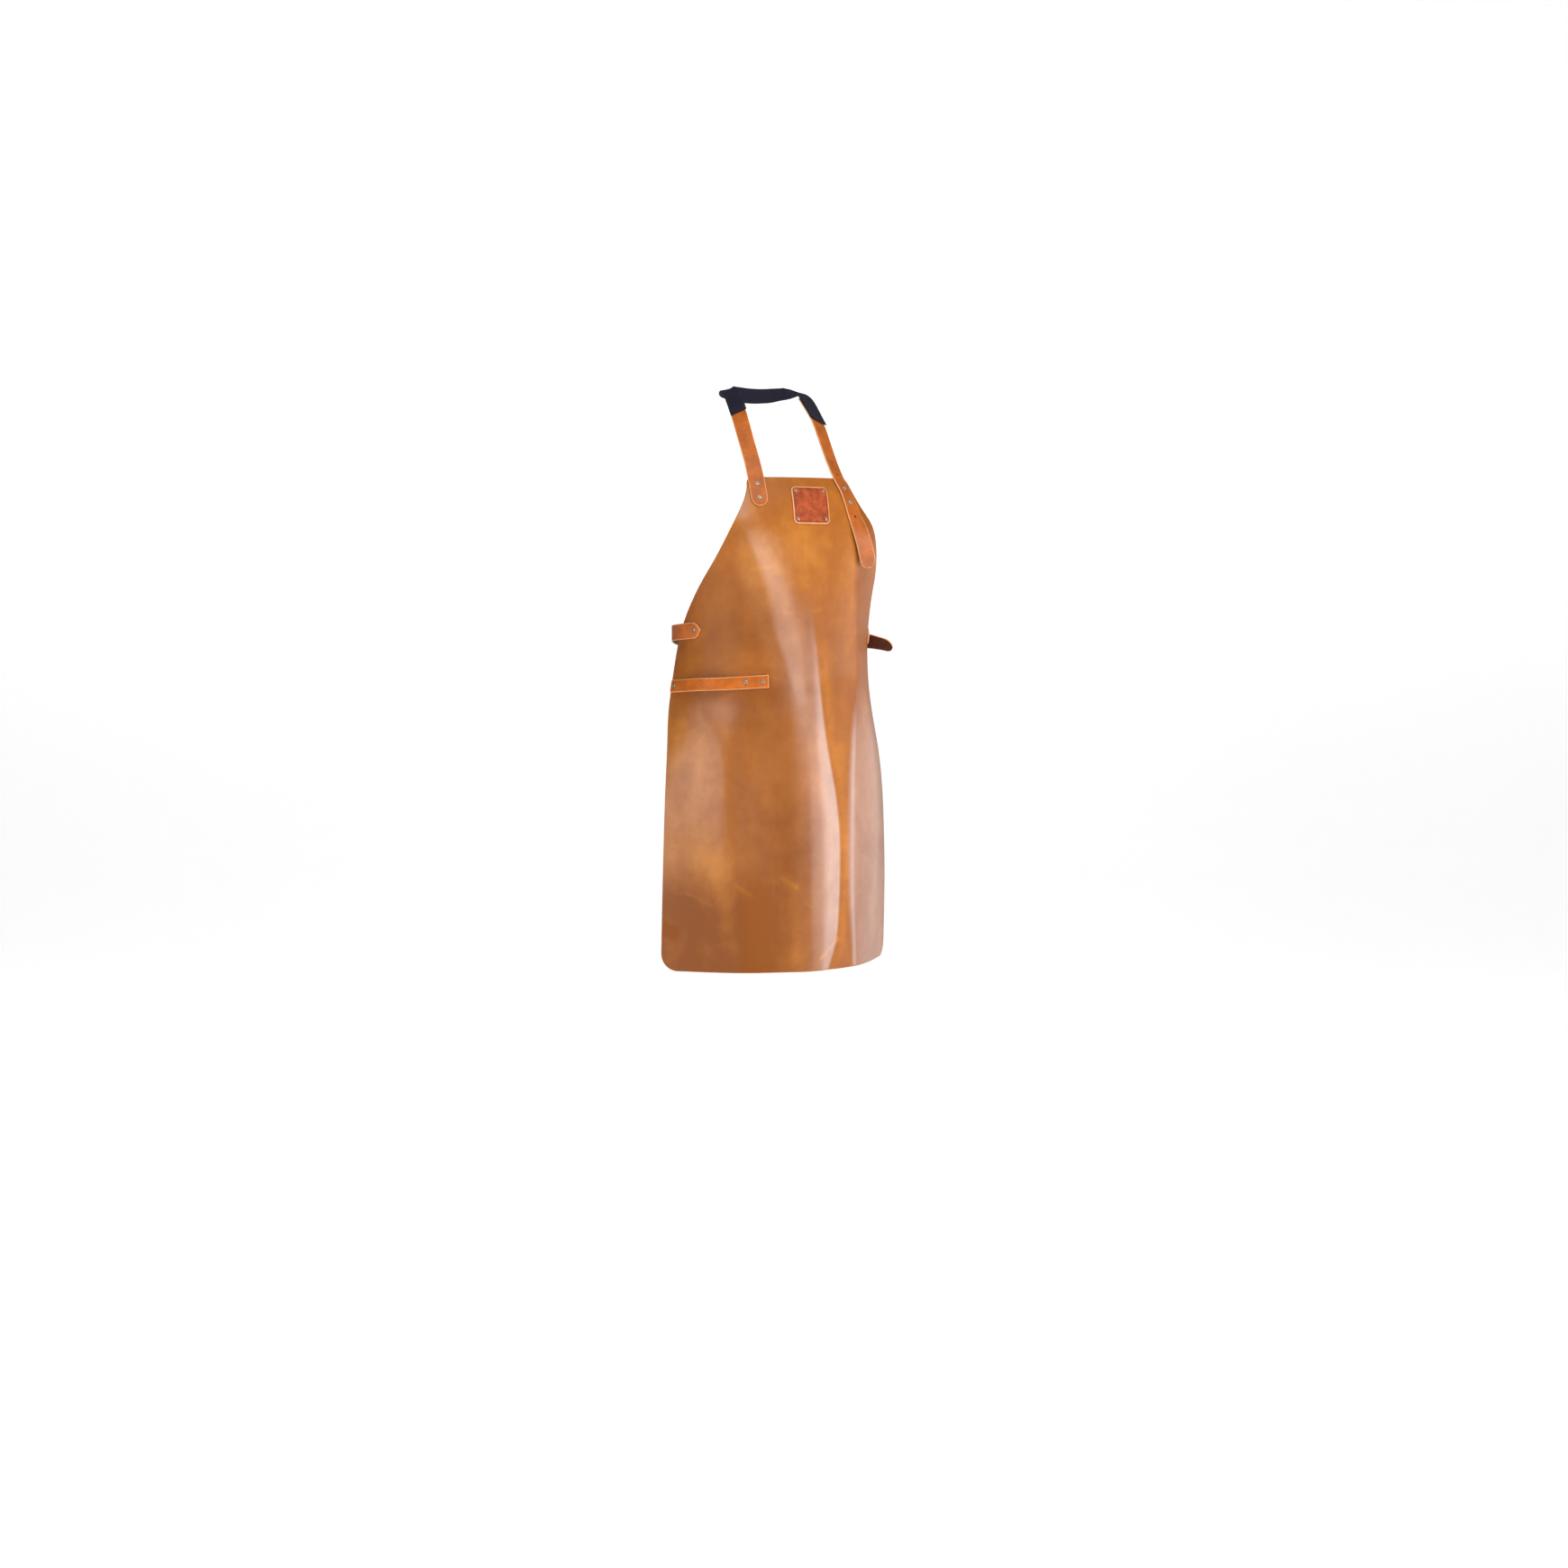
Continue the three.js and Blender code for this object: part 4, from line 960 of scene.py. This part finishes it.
class APRON_OT_stage(bpy.types.Operator):
    """Camera, soft boxes and pale paper that runs from the floor up behind the apron and all round it"""
    bl_idname = "apron.stage"
    bl_label = "Studio"

    camera_place = Vector((-2.474, -4.387, -0.320))
    camera_target = Vector((0.020, -0.067, -0.669))
    light_axis = -0.10

    # The paper: how far it runs on the floor, half its width, the radius of its bend and the wall above that,
    # the turn that sets it across the view, and its cells; then the round wall's radius, foot and top
    paper_front, paper_back, paper_half = -7.0, 3.4, 9.0
    paper_bend, paper_wall = 1.6, 5.0
    paper_turn = math.radians(30)
    floor_rows, bend_rows, paper_columns = 12, 14, 9
    wall_radius, wall_foot, wall_top = 6.9, -0.2, 8.0
    wall_columns = 73

    def execute(self, context):
        settings = context.scene.apron_stage
        self.camera(context.scene, settings)
        self.paper(settings)
        self.lights(context.scene, settings)
        return {"FINISHED"}

    def camera(self, scene, settings):
        """A camera at its place, turned to its target."""
        data = bpy.data.cameras.new("camera")
        data.lens = settings.lens
        camera = bpy.data.objects.new("camera", data)
        scene.collection.objects.link(camera)
        camera.location = self.camera_place
        way = self.camera_target - self.camera_place
        camera.rotation_euler = way.to_track_quat("-Z", "Y").to_euler()
        scene.camera = camera

    def paper(self, settings):
        """A flat floor, a quarter circle and a wall, carried sideways; the wall stands across the view. A
        round wall further off closes the other sides, and gives no light."""
        run = np.linspace(self.paper_front, self.paper_back, self.floor_rows)
        bend = np.linspace(0, math.pi / 2, self.bend_rows)[1:]
        radius = self.paper_bend
        depth = np.concatenate([run, run[-1] + radius * np.sin(bend), [run[-1] + radius]])[:, None]
        level = np.concatenate([0 * run, radius * (1 - np.cos(bend)), [radius + self.paper_wall]])[:, None]
        aside = np.linspace(-self.paper_half, self.paper_half, self.paper_columns)
        x = aside * math.cos(self.paper_turn) + depth * math.sin(self.paper_turn)
        y = depth * math.cos(self.paper_turn) - aside * math.sin(self.paper_turn)
        look = stage_look(settings)
        self.hang("studio_paper", x, y, settings.floor + level, look)
        around = np.linspace(0, 2 * math.pi, self.wall_columns)
        level = np.array([self.wall_foot, self.wall_top])[:, None]
        x, y = self.wall_radius * np.cos(around), self.wall_radius * np.sin(around)
        wall = self.hang("studio_wall", x, y, settings.floor + level, look)
        wall.visible_diffuse = wall.visible_shadow = False

    def hang(self, name, x, y, z, look):
        """A sheet of paper on a grid of points, which the leather doesn't mirror."""
        points = np.stack(np.broadcast_arrays(x, y, z), -1)
        at = np.arange(points.size // 3).reshape(points.shape[:2])
        quads = np.stack([at[:-1, :-1], at[:-1, 1:], at[1:, 1:], at[1:, :-1]], -1).reshape(-1, 4)
        mesh = bpy.data.meshes.new(name)
        mesh.from_pydata(points.reshape(-1, 3).tolist(), [], quads.tolist())
        mesh.shade_smooth()
        mesh.materials.append(look)
        paper = bpy.data.objects.new(name, mesh)
        bpy.context.scene.collection.objects.link(paper)
        paper.visible_glossy = False
        return paper

    def lights(self, scene, settings):
        """Soft boxes that stand round the apron and face it, and one above: bearing and rise in degrees,
        level of the middle that they face, distance, width, height, brightness."""
        boxes = [
            ("key_box", -8.0, 52.0, -0.55, 2.6, 1.6, 1.2, settings.key),
            ("front_box", 9.0, 0.0, -0.23, 2.4, 1.30, 0.66, settings.front),
            ("fill_box", 40.0, 0.0, -0.85, 2.3, 1.36, 0.95, settings.fill),
            ("band_box", 67.0, 0.0, -0.90, 2.3, 0.81, 1.15, settings.band),
            ("side_box", 98.0, 0.0, -0.85, 2.3, 1.75, 1.30, settings.side),
            ("back_box", 137.0, 0.0, -0.90, 2.6, 1.50, 1.40, settings.back),
            ("left_box", -68.0, 0.0, -0.45, 2.3, 2.00, 1.00, settings.left),
        ]
        for name, bearing, rise, level, distance, wide, tall, brightness in boxes:
            data = bpy.data.lights.new(name, "AREA")
            data.shape = "RECTANGLE"
            data.size, data.size_y = wide, tall
            data.energy = brightness * math.pi * wide * tall
            lamp = bpy.data.objects.new(name, data)
            turn, lift = math.radians(bearing), math.radians(rise)
            flat = math.cos(lift)
            way = Vector((math.sin(turn) * flat, -math.cos(turn) * flat, math.sin(lift)))
            lamp.location = Vector((0.0, self.light_axis, level)) + way * distance
            lamp.rotation_euler = way.to_track_quat("Z", "Y").to_euler()
            lamp.visible_camera = False
            scene.collection.objects.link(lamp)
        world = bpy.data.worlds.new("room")
        world.use_nodes = True
        shade = world.node_tree.nodes["Background"]
        shade.inputs["Color"].default_value = (1.0, 1.0, 1.0, 1.0)
        shade.inputs["Strength"].default_value = settings.world
        scene.world = world
        scene.view_settings.view_transform = "Standard"


class APRON_OT_hide(bpy.types.Operator):
    """The hide: bib and skirt in one piece of leather, bent back at the sides, with its folds and edges"""
    bl_idname = "apron.hide"
    bl_label = "Hide"

    edge_steps = np.array([0.0, 0.00015, 0.0005, 0.0011, 0.0022])
    edge_round = 0.0011
    edge_thickness = 0.55
    edge_pale = 0.0006
    bib_corner_rows = 9
    hem_corner_rows = 16
    area_steps = 2001
    dark_mark_dulls = 0.5
    most_polish = 1.3

    def execute(self, context):
        settings = context.scene.apron_hide
        s, z, to_edge = self.grid(settings)
        point, normal = on_hide(s, z, 0.0)
        thick = quarter_round(to_edge, self.edge_round, self.edge_thickness)
        outer = point - normal * (settings.wall * (1 - thick) / 2)[..., None]
        inner = point - normal * (settings.wall * (1 + thick) / 2)[..., None]
        pale = bell(to_edge, 0.0, self.edge_pale)
        # Polish, and the tone's shift: stretch that lightens it, painted shade and painted highlights
        polish, pulled = self.wear(s, z)
        values = {
            "pale": np.stack([pale, pale]),
            "polish": np.stack([polish, 0 * polish]),
            "pulled": np.stack([pulled, 0 * pulled]),
            "flesh": np.stack([np.zeros_like(pale), np.ones_like(pale)]),
        }
        points = np.stack([outer, inner])
        hide = new_piece("worn_hide", points, sheet_faces(*s.shape), hide_look(settings), values)
        stands_for(hide, "hide", "apron_panel")
        flat = (2 * float(CUT[:, HALF].max()), BIB_TOP - HEM)
        fine = np.linspace(HEM, BIB_TOP, self.area_steps)
        area = float(2 * np.mean(half_width(fine)) * flat[1])
        return {"FINISHED"}

    def wear(self, s, z):
        """How polished the wax is, and how far the tone moves: lighter where the leather is creased and
        stretched, with painted shade and painted highlights elsewhere. Each area of the hide is a share from
        0 to 1, the product of rises across and down it, and adds its amounts to both. The creases, the
        patches of painted sheen and the dark marks are bells about short lines."""
        ridge = s - column(CHEST_RIDGE, ACROSS, z)
        valley = s - column(FRONT_VALLEY, ACROSS, z)
        side = s - column(SIDE_RIDGE, ACROSS, z)
        chest = rises(z, -0.545, 0.04)
        outside = rises(side, -0.016, 0.014)
        inside = 1 - outside
        past_valley = rises(valley, -0.003, 0.006)
        band = rises(valley, -0.050, 0.030) * (1 - past_valley) * rises(z, -0.33, -0.10)
        breast = rises(ridge, 0.022, 0.050) * inside * chest * (1 - band)
        hem = rises(s, -0.05, -0.06) * rises(z, -0.78, -0.10)
        belly = rises(s, -0.14, 0.03) * (1 - rises(s, -0.05, 0.03)) * rises(z, -0.50, -0.06)
        thigh = rises(s, -0.12, -0.03) * rises(z, -0.52, -0.08) * (1 - hem)
        # Area of the hide, what it adds to the polish, what it adds to the tone (stretch made lighter,
        # painted shade, painted highlight)
        areas = [
            (bell(ridge, 0.004, 0.014) * chest, 0.3, 0.0),
            # Painted shade on the chest beyond the chest ridge, towards the right side as worn, with less wax
            (rises(ridge, -0.012, -0.03) * chest, -0.9, -0.5),
            (breast, -0.9, 0.0),
            (rises(z, -0.260, 0.05), -0.85, 0.0),
            # Darker on the upper bib
            (rises(z, -0.270, 0.07), 0.0, -1.1),
            (band, 0.1, 0.0),
            # Painted shade under the bright band's highlight, next to the front valley
            (band * rises(valley, -0.030, 0.020), 0.0, -0.5),
            (bell(valley, 0.012, 0.014) * rises(z, -0.36, -0.20), 0.0, 1.0),
            (past_valley * inside * rises(z, -0.47, -0.08), -1.0, 0.0),
            # Painted shade on the left side as worn, past the side ridge, and more painted shade with less
            # wax higher up it
            (outside, 0.0, -0.7),
            (outside * rises(z, -0.62, 0.16), -0.85, -0.6),
            # Duller and darker on the belly
            (belly, -0.65, -0.4),
            # A painted lighter tone where the highlight on the thigh falls, with less wax
            (thigh, -0.25, 0.7),
            # Painted shade low on the skirt towards the right side as worn, with less wax
            (hem, -0.6, -1.2),
        ]
        polish = 1 + sum(share * waxed for share, waxed, pull_and_shading in areas)
        pulled = sum(share * pull_and_shading for share, waxed, pull_and_shading in areas)
        for s_start, z_start, s_end, z_end, wide, amount in CREASES:
            along_s, along_z = s_end - s_start, z_end - z_start
            share = ((s - s_start) * along_s + (z - z_start) * along_z) / (along_s ** 2 + along_z ** 2)
            share = np.clip(share, 0, 1)
            away = np.hypot(s - s_start - share * along_s, z - z_start - share * along_z)
            mark = amount * bell(away, 0.0, wide)
            pulled = pulled + mark
            # Dark marks, the painted shadow at the waist among them, also lose wax
            polish = polish + self.dark_mark_dulls * np.minimum(mark, 0)
        return np.clip(polish, 0, self.most_polish), pulled

    def grid(self, settings):
        """Heights from the bib's top to the hem, close together at the edges and round the corners, and s as
        a share of the half width there; also the distance to the nearest edge."""
        steps = self.edge_steps
        top = edge_rows(steps, BIB_CORNER, self.bib_corner_rows)
        foot = edge_rows(steps, HEM_CORNER, self.hem_corner_rows)
        rest = np.linspace(BIB_TOP - top[-1], HEM + foot[-1], settings.rows)[1:-1]
        z = np.concatenate([BIB_TOP - top, rest, HEM + foot[::-1]])[:, None]
        share = np.linspace(-1, 1, settings.columns)
        share = np.sin(share * EDGE_CROWDING) / math.sin(EDGE_CROWDING)
        half = half_width(z)
        s = edge_columns(half, share, steps)
        z = np.broadcast_to(z, s.shape)
        to_edge = np.minimum(half - np.abs(s), np.minimum(BIB_TOP - z, z - HEM))
        return s, z, np.maximum(to_edge, 0)


class APRON_OT_patch(bpy.types.Operator):
    """The bare patch on the bib, with a pressed border line and a pucker at each rivet"""
    bl_idname = "apron.patch"
    bl_label = "Bib patch"

    edge_steps = np.array([0.0, 0.0002, 0.0006, 0.0012, 0.002])
    edge_round = 0.0012
    edge_thickness = 0.5
    edge_pale = 0.0019
    corner_rows, middle_rows, columns = 10, 70, 90
    line_inset = 0.0042
    line_half = 0.0007
    line_depth = 0.00045

    # Round each rivet, in head radii: the dent's reach, the pucker's place and width, where the line stops
    dent_reach = 1.2
    pucker_at = 2.0
    pucker_width = 0.55
    line_stop = 2.2
    pucker_rise = 0.0005

    def execute(self, context):
        settings = context.scene.apron_strap
        reach = PATCH_HEIGHT / 2
        edge = edge_rows(self.edge_steps, PATCH_CORNER, self.corner_rows)
        rest = np.linspace(reach - edge[-1], edge[-1] - reach, self.middle_rows)[1:-1]
        up = np.concatenate([reach - edge, rest, edge[::-1] - reach])[:, None]
        half = PATCH_WIDTH / 2 - corner_loss(reach - np.abs(up), PATCH_CORNER)
        across = edge_columns(half, np.linspace(-1, 1, self.columns), self.edge_steps)
        up = np.broadcast_to(up, across.shape)
        to_edge = self.to_edge(across, up)
        thick = quarter_round(to_edge, self.edge_round, self.edge_thickness)
        pressed = bell(to_edge, self.line_inset, self.line_half)
        top = PATCH_WALL * thick - self.line_depth * pressed
        for rivet_across, rivet_up in patch_rivets():
            away = np.hypot(across - rivet_across, up - rivet_up) / SMALL_HEAD
            pucker = self.pucker_rise * bell(away, self.pucker_at, self.pucker_width)
            top = top - PATCH_DENT * dish(away, self.dent_reach) + pucker
            pressed = pressed * (1 - dish(away, self.line_stop))
        under = PATCH_WALL * (1 - thick)
        s, z = patch_spot(across, up)
        points = np.stack([on_hide(s, z, GAP + lift)[0] for lift in (top, under)])
        pale = bell(to_edge, 0.0, self.edge_pale)
        values = {"pale": np.stack([pale, pale]), "pressed": np.stack([pressed, 0 * pressed])}
        patch = new_piece("patch_leather", points, sheet_faces(*s.shape), patch_look(settings), values)
        stands_for(patch, "patch_leather", "bib_patch")
        return {"FINISHED"}

    def to_edge(self, across, up):
        """Distance inwards from the outline of a rectangle with round corners."""
        over_x = np.abs(across) - (PATCH_WIDTH / 2 - PATCH_CORNER)
        over_y = np.abs(up) - (PATCH_HEIGHT / 2 - PATCH_CORNER)
        corner = np.hypot(np.maximum(over_x, 0), np.maximum(over_y, 0))
        return np.maximum(PATCH_CORNER - corner - np.minimum(np.maximum(over_x, over_y), 0), 0)


class APRON_OT_neck_straps(bpy.types.Operator):
    """The fixed neck strap and the one with a row of holes and a free tail"""
    bl_idname = "apron.neck_straps"
    bl_label = "Neck straps"

    def execute(self, context):
        settings = context.scene.apron_strap
        width, wall = settings.neck_width, settings.wall
        rows = rows_of(NECK_ROUTE)
        look = strap_look("neck_strap_leather", settings, tint=0.88)
        route = joined(lay_knots(FIXED_LAY[::-1]), tuple(part[:BAND_FIRST_ROW + 2] for part in rows))
        dents = dents_at(route, FIXED_RIVETS, STRAP_DENT)
        ends = ("round", "square")
        leather_strap("fixed_neck_strap", "neck_strap_fixed", route, width, wall, ends, look, dents)
        look = strap_look("holed_strap_leather", settings, tint=0.84, wax=0.8)
        route = joined(tuple(part[BAND_LAST_ROW - 1:] for part in rows), lay_knots(ADJUST_LAY))
        dents = dents_at(route, ADJUST_STUDS, STRAP_DENT)
        lengths = dents[0][0] + ADJUST_HOLE_PITCH * np.array(ADJUST_OPEN_HOLES)
        holes = list(zip(*route.places(lengths)[:2]))
        ends = ("square", "round")
        leather_strap("holed_neck_strap", "neck_strap_adjust", route, width, wall, ends, look, dents, holes)
        return {"FINISHED"}


class APRON_OT_band(bpy.types.Operator):
    """The cloth band round the nape, sewn over the ends of both neck straps"""
    bl_idname = "apron.band"
    bl_label = "Neck band"

    # The rows of stitches: pitch in stitch lengths, where long rows start and lie, where short ones lie
    stitch_pitch = 1.4
    run_inset = 0.009
    edge_inset = 0.0032
    end_rows = (0.0045, 0.0105)

    # One stitch: rings along it and sides round it, its radius, how thin its ends are and how it falls to
    # them, how far they sink, its lift, and the angle past which its edges are sharp
    rings, sides = 5, 6
    thread_radius = 0.00042
    thread_end = 0.35
    thread_taper = 0.98
    end_sink = 0.00025
    thread_lift = 0.00012
    sharp_angle = 80.0

    def execute(self, context):
        settings = context.scene.apron_band
        strap_wall = context.scene.apron_strap.wall
        rows = np.arange(BAND_FIRST_ROW, BAND_LAST_ROW + 1)
        point, normal = rows_of(NECK_ROUTE[rows])
        from_nape = np.abs(rows - NAPE_ROW) / (NAPE_ROW - BAND_FIRST_ROW)
        lift = (strap_wall + BAND_CLEARANCE) * rises(from_nape, BAND_NAPE_SHARE, BAND_RISE_SHARE)
        route = Route(point + normal * lift[:, None], normal)
        look = band_look(settings)
        ends = ("square", "square")
        band = strap("cloth_band", route, settings.width, settings.wall, ends, look, BAND_SLANT)
        stands_for(band, "band_cloth", "neck_band")
        self.stitches(route, settings)
        return {"FINISHED"}

    def stitches(self, route, settings):
        """Rows of stitches along both edges and across both ends: each is a short tube, thinner at its ends,
        that lies on the band."""
        pitch = settings.stitch * self.stitch_pitch
        run = np.arange(self.run_inset, route.total - self.run_inset, pitch)
        inset = settings.width / 2 - self.edge_inset
        over = np.arange(-inset + pitch / 2, inset, pitch)
        rows = [(run, np.full_like(run, edge), False) for edge in (inset, -inset)]
        near, far = self.end_rows
        for length in (near, far, route.total - far, route.total - near):
            rows.append((np.full_like(over, length), over, True))
        points = np.concatenate([self.tubes(route, settings, *row) for row in rows])
        each = self.rings * self.sides
        starts = np.arange(len(points))[:, None, None] * each
        quads = np.array(tube_faces(self.rings, self.sides)[:-2])[None] + starts
        ring = np.arange(self.sides)
        caps = np.stack([ring[::-1], ring + each - self.sides])[None] + starts
        faces = quads.reshape(-1, 4).tolist() + caps.reshape(-1, self.sides).tolist()
        thread = new_piece("band_stitches", points, faces, thread_look(settings), sharp=self.sharp_angle)

    def tubes(self, route, settings, lengths, across, crossways):
        """Stitches along or across the band: rings round a short line, fat midway, sunk at its ends."""
        point, out, tangent, side = route.places(lengths)
        half = settings.width / 2
        lean = BAND_SLANT * route.lean(lengths, settings.width) / half
        middle = point + side * across[:, None] + tangent * (lean * across)[:, None] + out * settings.wall
        way = unit(side + tangent * lean[:, None]) if crossways else tangent
        beside = np.cross(out, way)
        t = np.linspace(-1, 1, self.rings)
        turn = np.arange(self.sides) * 2 * math.pi / self.sides
        bulge = np.sqrt(1 - self.thread_taper * t ** 2)
        fat = self.thread_radius * (self.thread_end + (1 - self.thread_end) * bulge)
        ring = way[:, None, None] * (t * settings.stitch / 2)[None, :, None, None]
        ring = ring + beside[:, None, None] * (fat[:, None] * np.cos(turn))[None, ..., None]
        lift = fat[:, None] * np.sin(turn) - self.end_sink * t[:, None] ** 2 + self.thread_lift
        return middle[:, None, None] + ring + out[:, None, None] * lift[None, ..., None]


class APRON_OT_waist(bpy.types.Operator):
    """The waist strap from the right hip round the back to its free tail, and the tab that it buttons on"""
    bl_idname = "apron.waist"
    bl_label = "Waist strap and tab"

    def execute(self, context):
        settings = context.scene.apron_strap
        width, wall = settings.waist_width, settings.wall
        look = strap_look("waist_strap_leather", settings, tint=0.94, wax=0.9)
        ends = ("point", "round")
        on_tab = wall + GAP
        tab_end = math.pi - SIDE_TAB_ANGLE
        angle = np.linspace(RING_START, math.pi - STUD_ANGLE, RING_KNOTS + 1)
        climb = on_tab * rises(angle, CLIMB_START, tab_end - CLIMB_CLEARANCE - CLIMB_START)
        tail = ring_knots(math.pi - TAIL_ANGLE, on_tab + TAIL_LIFT)
        tips = tip_knots(WAIST_TIP, WAIST_EDGE)
        route = joined(tips, ring_knots(angle, climb), tail, rows_of(TAIL_ROUTE))
        dents = [(abs(WAIST_RIVET_S - WAIST_TIP[0]), STRAP_DENT)]
        leather_strap("worn_waist_strap", "waist_strap", route, width, wall, ends, look, dents)
        back = np.linspace(math.pi - RING_START, tab_end, TAB_KNOTS + 1)
        route = joined(tip_knots(SIDE_TIP, SIDE_EDGE), ring_knots(back, 0.0))
        dents = [(abs(SIDE_RIVET_S - SIDE_TIP[0]), STRAP_DENT)]
        leather_strap("stud_tab", "side_tab", route, width, wall, ends, look, dents)
        return {"FINISHED"}


class APRON_OT_loop(bpy.types.Operator):
    """The towel loop: flat at its rivets, and standing off the hide between the first two"""
    bl_idname = "apron.loop"
    bl_label = "Towel loop"

    def execute(self, context):
        settings = context.scene.apron_strap
        width, wall = settings.loop_width, settings.wall
        first, second = LOOP_RIVETS[:2]
        s = np.linspace(LOOP_START[0], LOOP_END[0], LOOP_KNOTS + 1)
        t = np.clip((s - first - LOOP_FLAT) / (second - first - 2 * LOOP_FLAT), 0, 1)
        lift = GAP + LOOP_LIFT + LOOP_BULGE * np.sin(math.pi * t) ** 2
        route = Route(*on_hide(s, tip_height(LOOP_START, LOOP_END, s), lift))
        dents = dents_at(route, loop_spots(), LOOP_DENT)
        look = strap_look("loop_leather", settings)
        ends = ("square", "square")
        leather_strap("worn_towel_loop", "towel_loop", route, width, wall, ends, look, dents)
        return {"FINISHED"}


class APRON_OT_rivets(bpy.types.Operator):
    """Every rivet and stud: a cap with a rolled rim round a hollow, its shank, and its washer inside"""
    bl_idname = "apron.rivets"
    bl_label = "Rivets and studs"

    # Radius and height of the cap as shares of the head's, and how much of each ring lies in the hollow
    cap = [(0.02, 0.62, 1.0), (0.22, 0.62, 1.0), (0.34, 0.66, 1.0), (0.40, 0.80, 0.7), (0.47, 0.92, 0.2),
           (0.58, 1.00, 0.0), (0.72, 0.98, 0.0), (0.86, 0.82, 0.0), (0.95, 0.55, 0.0), (1.00, 0.25, 0.1),
           (0.99, 0.00, 0.4)]
    ball = [(0.02, 1.00, 0.0), (0.30, 0.98, 0.0), (0.55, 0.90, 0.0), (0.80, 0.72, 0.0), (0.95, 0.50, 0.0),
            (0.97, 0.34, 0.0), (0.85, 0.20, 0.0), (0.66, 0.10, 0.3), (0.70, 0.00, 0.4)]

    # Outline, radius and rise of the head, radius of the shank, radius and rise of the washer
    shapes = {
        "rivet": (cap, RIVET_HEAD, 0.0017, 0.0018, 0.0038, 0.0010),
        "small": (cap, SMALL_HEAD, 0.0013, 0.0013, 0.0028, 0.0008),
        "stud": (ball, 0.0036, 0.0042, 0.0018, 0.0038, 0.0010),
    }

    # Radius and depth of the washer's rings as shares of the washer's, then its tip, its dullness, and the
    # room that the flat cells of the hide need above it
    washer_rings = [(0.9, 0.0), (1.0, 0.4), (0.9, 0.85), (0.5, 1.0)]
    washer_tip = 0.0002
    foot_dull = 0.2
    facet_sag = 0.0006

    def execute(self, context):
        scene = context.scene
        hide_wall = scene.apron_hide.wall
        wall = scene.apron_strap.wall
        look = metal_look(scene.apron_metal)
        patch_spots = [patch_spot(*place) for place in patch_rivets()]
        waist = [(WAIST_RIVET_S, tip_height(WAIST_TIP, WAIST_EDGE, WAIST_RIVET_S))]
        side = [(SIDE_RIVET_S, tip_height(SIDE_TIP, SIDE_EDGE, SIDE_RIVET_S))]
        # Name, shape, spots on the hide, height of what the head presses on
        groups = [
            ("patch_rivet_{}", "small", patch_spots, GAP + PATCH_WALL - PATCH_DENT),
            ("neck_rivet_{}", "rivet", FIXED_RIVETS, GAP + NECK_LIFT + wall - STRAP_DENT),
            ("adjust_stud_{}", "rivet", ADJUST_STUDS, GAP + NECK_LIFT + wall - STRAP_DENT),
            ("waist_rivet", "rivet", waist, GAP + TAB_LIFT + wall - STRAP_DENT),
            ("side_rivet", "rivet", side, GAP + TAB_LIFT + wall - STRAP_DENT),
            ("towel_rivet_{}", "rivet", loop_spots(), GAP + LOOP_LIFT + wall - LOOP_DENT),
        ]
        sides = scene.apron_metal.sides
        for name, shape, spots, top in groups:
            for k, spot in enumerate(spots):
                point, normal = on_hide(*spot, top)
                self.fasten(name.format(k + 1), shape, point, normal, hide_wall + top, sides, look)
        point, normal = ring_knots(math.pi - STUD_ANGLE, 2 * wall + GAP)
        self.fasten("waist_stud", "stud", point[0], normal[0], 2 * wall + GAP, sides, look)
        return {"FINISHED"}

    def fasten(self, node, shape, point, normal, stack, sides, look):
        """One rivet or stud turned about its direction: its cap, its shank through a stack of leather, and
        its washer below that."""
        outline, head, rise, shank, washer, washer_rise = self.shapes[shape]
        under = -stack - GAP - self.facet_sag
        rings = [(radius * head, height * rise + GAP / 2) for radius, height, dark in outline]
        foot = [(shank, 0.0), (shank, under)]
        foot += [(washer * wide, under - washer_rise * deep) for wide, deep in self.washer_rings]
        foot.append((self.washer_tip, under - washer_rise))
        hollow = [dark for radius, height, dark in outline] + [self.foot_dull] * len(foot)
        points = turned(rings + foot, sides, point, normal)[:, ::-1]
        values = {"hollow": np.repeat(np.array(hollow)[:, None], sides, axis=1)}
        cap = new_piece("cap_" + node, points, tube_faces(len(hollow), sides), look, values)
        stands_for(cap, "rivet_metal", node)


OPERATORS = (APRON_OT_stage, APRON_OT_hide, APRON_OT_patch, APRON_OT_neck_straps, APRON_OT_band,
             APRON_OT_waist, APRON_OT_loop, APRON_OT_rivets)
SETTINGS = {
    "apron_hide": ApronHideSettings,
    "apron_strap": ApronStrapSettings,
    "apron_band": ApronBandSettings,
    "apron_metal": ApronMetalSettings,
    "apron_stage": ApronStageSettings,
}


class APRON_PT_sidebar(bpy.types.Panel):
    """Lists the apron's pieces and their settings"""
    bl_idname = "APRON_PT_sidebar"
    bl_label = "Leather apron"
    bl_space_type = "VIEW_3D"
    bl_region_type = "UI"
    bl_category = "Apron"

    def draw(self, context):
        for operator in OPERATORS:
            self.layout.operator(operator.bl_idname)
        for key in SETTINGS:
            box = self.layout.box()
            settings = getattr(context.scene, key)
            for name in settings.__annotations__:
                box.prop(settings, name)


def register():
    for made in (*SETTINGS.values(), *OPERATORS, APRON_PT_sidebar):
        bpy.utils.register_class(made)
    for key, group in SETTINGS.items():
        setattr(bpy.types.Scene, key, PointerProperty(type=group))


def unregister():
    for key in SETTINGS:
        delattr(bpy.types.Scene, key)
    for made in (APRON_PT_sidebar, *reversed(OPERATORS), *reversed(SETTINGS.values())):
        bpy.utils.unregister_class(made)


def main():
    register()
    bpy.ops.apron.stage()
    bpy.ops.apron.hide()
    bpy.ops.apron.patch()
    bpy.ops.apron.neck_straps()
    bpy.ops.apron.band()
    bpy.ops.apron.waist()
    bpy.ops.apron.loop()
    bpy.ops.apron.rivets()
    bpy.context.view_layer.update()


if __name__ == "__main__":
    main()
